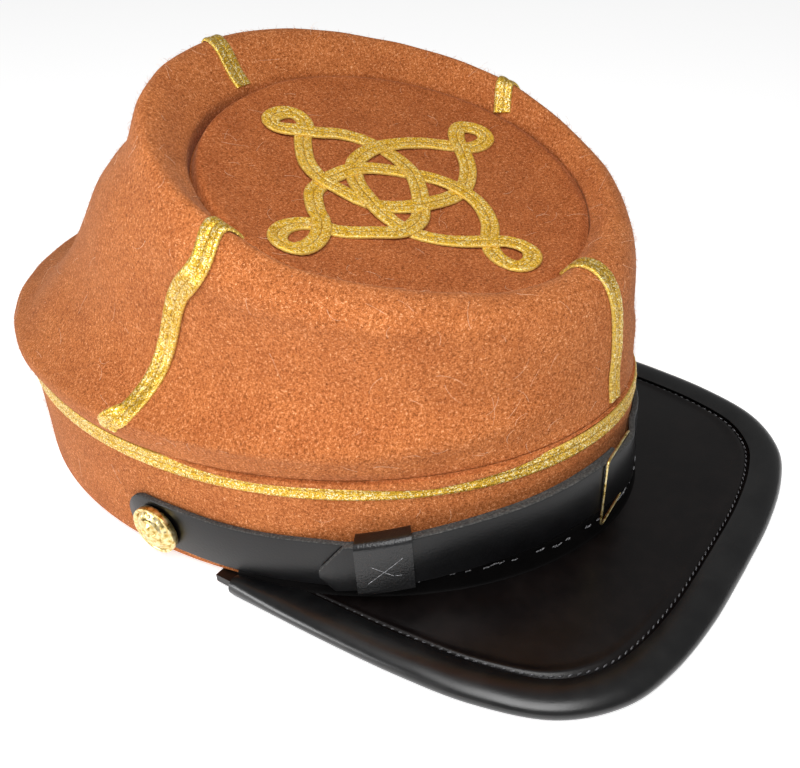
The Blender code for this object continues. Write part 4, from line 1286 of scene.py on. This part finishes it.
def peak_columns():
    """Along the outline: the plate's edge, the binding's inner edge and the seat under the band."""
    outline = peak_outline()
    normals = inward_normals(outline)
    last = len(outline) - 1
    middle = BINDING_HEIGHT / 2
    columns = []
    for index, (point, normal) in enumerate(zip(outline, normals)):
        edge = point + normal * PEAK_INSET
        turn = point + normal * (binding_width(point) + GAP)
        tab = PEAK_TAB * max(0.0, 1.0 - min(index, last - index) / 3)
        edge.y += tab
        turn.y += tab
        angle = PEAK_REAR_ANGLE + (360.0 - 2 * (PEAK_REAR_ANGLE - 180.0) - 180.0) * index / last
        seat = band_point(angle, -WOOL_THICKNESS, 0.0)
        seat.z -= GAP + PEAK_THICKNESS / 2
        columns.append((place_on_peak(edge, middle), place_on_peak(turn, middle), seat))
    return columns


def plate_relief(distance, span):
    """The plate beside the binding: a sunk stitch line, then a soft welt."""
    groove = -GROOVE_DEPTH * exp(-(distance / GROOVE_WIDTH) ** 2)
    welt = WELT_HEIGHT * exp(-((distance - WELT_PLACE) / WELT_WIDTH) ** 2)
    return (groove + welt) * min(1.0, span / (7 * MM))


def peak_top(column, share):
    """A point on the plate's upper face, share 0 at the binding and 1 under the band."""
    _, turn, seat = column
    point = turn.lerp(seat, share)
    span = (seat - turn).length
    point.z += PEAK_THICKNESS / 2 + plate_relief(share * span, span)
    point.z += cloth_relief(point, 26 * MM, 0.35 * MM) * ease(share * 4) * ease((1 - share) * 4)
    return point


def build_peak(leather):
    """The leather plate, dished a little, with its edge inside the binding."""
    columns = peak_columns()
    rows = len(PLATE_SHARES)
    half = PEAK_THICKNESS / 2

    def place(index, row):
        column = columns[index]
        if row == 0 or row == 2 * rows + 2:
            return column[0] + UP * half
        if row <= rows:
            return peak_top(column, PLATE_SHARES[row - 1])
        if row == 2 * rows + 1:
            return column[0] - UP * half
        return column[1].lerp(column[2], PLATE_SHARES[2 * rows - row]) - UP * half

    bm, _ = wrapped_grid(len(columns) - 1, 2 * rows + 2, place)
    close_ends(bm)
    return finish_mesh("leather_peak", bm, [leather], ["peak"], 50.0)


def build_binding(leather):
    """The leather folded round the peak's edge, a little uneven, its ends pared down."""
    outline = peak_outline()
    normals = inward_normals(outline)
    half_height = BINDING_HEIGHT / 2
    slot = PEAK_THICKNESS / 2 + GAP
    profile = smooth_rows(BINDING_OUTER, 3)
    travelled = 0.0
    sections = []
    for index, (point, normal) in enumerate(zip(outline, normals)):
        if index:
            travelled += (point - outline[index - 1]).length
        width = binding_width(point)
        section = []
        for share, rise in profile:
            inward, height = share * width, rise * half_height
            if rise > 0.0:
                uneven = noise.noise(Vector((travelled / BINDING_WAVE, rise, 3.0)))
                height *= 1.0 + BINDING_UNEVENNESS * uneven
            section.append((inward, height))
        section += [(width, -slot), (PEAK_INSET - GAP, -slot), (PEAK_INSET - GAP, slot), (width, slot)]
        from_end = min(index, len(outline) - 1 - index) - BINDING_FIRST_COLUMN
        if from_end < 0:
            continue
        fullness = BINDING_END_FULLNESS + (1.0 - BINDING_END_FULLNESS) * ease((from_end + 1) / 3)
        sections.append([
            place_on_peak(point + normal * (width / 2 + (inward - width / 2) * (0.5 + fullness / 2)),
                          half_height + height * fullness)
            for inward, height in section
        ])
    bm = skin_outlines(sections)
    return finish_mesh("leather_peak_binding", bm, [leather], ["peak_binding"], 60.0)


def add_stitch(bm, middle, along, normal, length, width, height):
    """One stitch: a small rounded bead lying along its run."""
    along = along.normalized()
    side = normal.cross(along).normalized()
    up = along.cross(side)
    rotation = Matrix((along, side, up)).transposed().to_4x4()
    scale = Matrix.Diagonal((length / 2, width / 2, height / 2, 1.0))
    bmesh.ops.create_icosphere(
        bm, subdivisions=1, radius=1.0, matrix=Matrix.Translation(middle) @ rotation @ scale)


def build_binding_stitches(thread):
    """The row of stitches that holds the binding, slanting in its sunk line, and its underside."""
    outline = peak_outline()
    normals = inward_normals(outline)
    points = [
        place_on_peak(point + normal * (binding_width(point) + STITCH_INSET), BINDING_HEIGHT / 2)
        for point, normal in zip(outline[4:-4], normals[4:-4])
    ]
    run = even_path(points, closed=False, spacing=STITCH_PITCH)
    bm = bmesh.new()
    for behind, point, ahead in zip(run, run[1:], run[2:]):
        along = (ahead - behind).normalized()
        slant = along + Vector((-along.y, along.x, 0.0)) * 0.28
        add_stitch(bm, point + UP * (PEAK_THICKNESS / 2 + 0.05 * MM), slant, UP, *UPPER_STITCH)
        add_stitch(bm, point - UP * (PEAK_THICKNESS / 2 + 0.1 * MM), along, -UP, *UNDER_STITCH)
    return finish_mesh("binding_stitches", bm, [thread])


def turned_edge_height(angle):
    """Height of the peak's turned-up inner edge on the band, alike on both sides."""
    return interpolate(TURNED_EDGE, min(angle, other_side(angle))) * MM


def turned_edge_face(angle, share):
    """Outer face of the turned-up edge: share 0 at its top and 1 at its toe on the peak."""
    height = turned_edge_height(angle)
    toe = 1.9 * MM
    rows = (
        (0.3 * MM, height - 0.1 * MM), (0.6 * MM, height), (0.95 * MM, height - 0.3 * MM),
        (1.1 * MM, height * 0.6), (1.25 * MM, height * 0.3), (toe * 0.8, 0.1 * MM), (toe, -0.5 * MM),
    )
    return read_rows(rows, share * (len(rows) - 1))


def build_turned_edge(leather):
    """The peak's inner edge, skived thin and turned up against the band."""
    angles = stepped(TURNED_EDGE[0][0], other_side(TURNED_EDGE[0][0]))
    steps = TURNED_EDGE_STEPS

    def place(column, row):
        angle = angles[column]
        row %= steps + 3
        if row <= steps:
            outward, height = turned_edge_face(angle, row / steps)
            height += cloth_relief(band_point(angle, 0.0, 0.0), 5 * MM, 0.3 * MM) * (1.0 - row / steps)
            return band_point(angle, outward, height)
        return band_point(angle, 0.25 * MM, (-0.35, 0.4)[row - steps - 1] * MM)

    bm, _ = wrapped_grid(len(angles) - 1, steps + 3, place)
    close_ends(bm)
    return finish_mesh("leather_peak_turned_edge", bm, [leather], sharp_degrees=60.0)


def build_joint_stitches(thread):
    """The pale, uneven hand stitches where the peak's turned edge is sewn to the band."""
    rng = random.Random(12)
    bm = bmesh.new()
    for near_angle, height, length in EDGE_STITCHES:
        for middle_angle in (near_angle, other_side(near_angle) + 1.0):
            parts = max(1, round(length / CLUSTER_PITCH))
            for part in range(parts):
                angle = middle_angle + (part - (parts - 1) / 2) * CLUSTER_TURN
                along = band_tangent(angle) + UP * rng.uniform(*HAND_STITCH_SLANTS)
                rise = height * MM + rng.uniform(*HAND_STITCH_RISES) * MM
                add_stitch(
                    bm, band_point(angle, HAND_STITCH_OUT, rise), along, band_normal(angle),
                    rng.uniform(*HAND_STITCH_LENGTHS) * MM, HAND_STITCH_WIDTH, HAND_STITCH_HEIGHT)
    return finish_mesh("joint_stitches", bm, [thread])


# Loose hairs

def build_hairs(name, material, hairs, thickness):
    """Fine hairs as one curve piece, from lists of points."""
    curve = bpy.data.curves.new(name, "CURVE")
    curve.dimensions = "3D"
    curve.bevel_depth = thickness / 2
    curve.bevel_resolution = 0
    curve.use_fill_caps = True
    for points in hairs:
        spline = curve.splines.new("POLY")
        spline.points.add(len(points) - 1)
        for index, (target, point) in enumerate(zip(spline.points, points)):
            target.co = (*point, 1.0)
            target.radius = 1.0 - 0.6 * index / (len(points) - 1)
    curve.materials.append(material)
    return dress(add_object(name, curve))


def wool_spot(rng):
    """A random place on the wool and the direction out of it there."""
    choice = rng.random()
    if choice < CROWN_HAIRS_TO:
        angle = rng.uniform(0.0, 360.0)
        return crown_surface(angle, rng.uniform(0.3, 6.8))
    if choice < DISC_HAIRS_TO:
        turn, share = rng.uniform(0.0, tau), sqrt(rng.random()) * 0.92
        x = SEAM_HALF_WIDTH * share * cos(turn)
        y = SEAM_MIDDLE_Y + SEAM_HALF_LENGTH * share * sin(turn)
        return disc_surface(x, y), disc_normal(x, y)
    angle = rng.uniform(0.0, 360.0)
    return band_point(angle, 0.0, rng.uniform(2.0, 27.0) * MM), band_normal(angle)


def hair_points(rng, point, normal, length, steps, stand):
    """A curling hair that starts in the cloth and lies over it."""
    drift = Vector((rng.uniform(-1, 1), rng.uniform(-1, 1), rng.uniform(-1, 1)))
    along = (drift - normal * drift.dot(normal)).normalized()
    curl = rng.uniform(-2.0, 2.0)
    points = [point - normal * 0.1 * MM]
    for step in range(1, steps + 1):
        share = step / steps
        turned = Matrix.Rotation(curl * share, 3, normal) @ along
        arch = sin(pi * min(share, 0.85)) * stand
        points.append(points[-1] + turned * (length / steps) + normal * (arch * length / steps))
    return points


def build_loose_hairs(*tones):
    """Long pale hairs here and there, and the short nap that softens every outline."""
    rng = random.Random(5)
    for material, (name, count, out, lengths, steps, stands, thickness) in zip(tones, WOOL_HAIRS):
        hairs = []
        for _ in range(count):
            point, normal = wool_spot(rng)
            length = rng.uniform(*lengths) * MM
            start = point + normal * out * MM
            hairs.append(hair_points(rng, start, normal, length, steps, rng.uniform(*stands)))
        build_hairs(name, material, hairs, thickness * MM)


# Studio

def direction(azimuth, elevation):
    """Unit vector from the cap to a place round it: azimuth 0 is the front, -90 the right side."""
    return Vector((
        sin(azimuth) * cos(elevation),
        -cos(azimuth) * cos(elevation),
        sin(elevation),
    ))


def build_camera():
    """The camera at the photo's angle to the cap."""
    camera_data = bpy.data.cameras.new("camera")
    camera_data.sensor_width = SENSOR_WIDTH
    camera_data.lens = SENSOR_WIDTH * CAMERA_FOCAL_PIXELS / PICTURE_WIDTH
    camera_data.clip_start = CAMERA_CLIP
    camera = add_object("camera", camera_data)
    back = direction(CAMERA_AZIMUTH, CAMERA_ELEVATION)
    right = Vector((cos(CAMERA_AZIMUTH), sin(CAMERA_AZIMUTH), 0.0))
    up = back.cross(right)
    rolled_right = right * cos(CAMERA_ROLL) + up * sin(CAMERA_ROLL)
    rolled_up = up * cos(CAMERA_ROLL) - right * sin(CAMERA_ROLL)
    place = Matrix((rolled_right, rolled_up, back)).transposed().to_4x4()
    place.translation = CAMERA_TARGET + back * CAMERA_DISTANCE
    camera.matrix_world = place
    bpy.context.scene.camera = camera


def add_light(name, azimuth, elevation, distance, size, power):
    """A square soft white light aimed at the cap."""
    light_data = bpy.data.lights.new(name, "AREA")
    light_data.size = size
    light_data.energy = power
    light = add_object(name, light_data)
    back = direction(radians(azimuth), radians(elevation))
    light.location = CAMERA_TARGET + back * distance
    light.rotation_mode = "QUATERNION"
    light.rotation_quaternion = (CAMERA_TARGET - light.location).to_track_quat("-Z", "Y")


def build_studio():
    """A pale, faintly lit table, a small soft key beside the camera, a wide light overhead and
    a low fill."""
    bm = bmesh.new()
    bmesh.ops.create_grid(bm, x_segments=1, y_segments=1, size=FLOOR_HALF_SIZE)
    mesh = bpy.data.meshes.new("floor")
    bm.to_mesh(mesh)
    bm.free()
    material = start_material(
        "pale_floor", Roughness=0.9, Base_Color=linear("#f4f4f4"), Emission_Color=linear("#ffffff"),
        Emission_Strength=FLOOR_GLOW)[0]
    mesh.materials.append(material)
    add_object("floor", mesh)
    world = bpy.data.worlds.new("studio")
    world.use_nodes = True
    fill_sockets(
        world.node_tree.nodes["Background"], {"Color": linear("#ffffff"), "Strength": ROOM_LIGHT})
    bpy.context.scene.world = world
    for light in LIGHTS:
        add_light(*light)
    bpy.context.scene.view_settings.view_transform = "Standard"


def main():
    build_camera()
    wool = felted_wool("felted_wool", *WOOL_TONES)
    # The disc's copy of the wool is darker: painted shade
    shaded_disc_wool = felted_wool("shaded_crown_top_wool", *SHADED_DISC_WOOL_TONES)
    gold = tinsel_braid("tinsel_braid", 0.7, 0.45, *TINSEL_TONES)
    # The knot's copy of the braid is painted brighter as painted light, with deeper painted valley shade
    lit_knot_gold = tinsel_braid("lit_knot_braid", 0.35, 0.7, *LIT_KNOT_TINSEL_TONES)
    strap_leather, keeper_leather, peak_leather, dull_leather, binding_leather = (
        finished_leather(*finish) for finish in LEATHERS)
    edge = raw_leather_edge()
    brass = stamped_brass()
    black_thread, pale_thread, pale_hair, rust_hair = (fine_fibre(*fibre) for fibre in FIBRES)

    build_crown(wool)
    build_disc(shaded_disc_wool)
    build_band(wool)
    build_band_braid(gold)
    build_wall_braids(gold)
    build_knot(lit_knot_gold)
    build_strap(strap_leather, edge)
    build_keeper(keeper_leather, edge)
    build_scratches(pale_thread)
    build_buckle(brass)
    build_button("right", STRAP_BUTTON_ANGLE, brass)
    build_button("left", other_side(STRAP_BUTTON_ANGLE), brass)
    build_peak(peak_leather)
    build_binding(binding_leather)
    build_binding_stitches(black_thread)
    build_turned_edge(dull_leather)
    build_joint_stitches(pale_thread)
    build_loose_hairs(pale_hair, rust_hair)
    build_studio()


main()
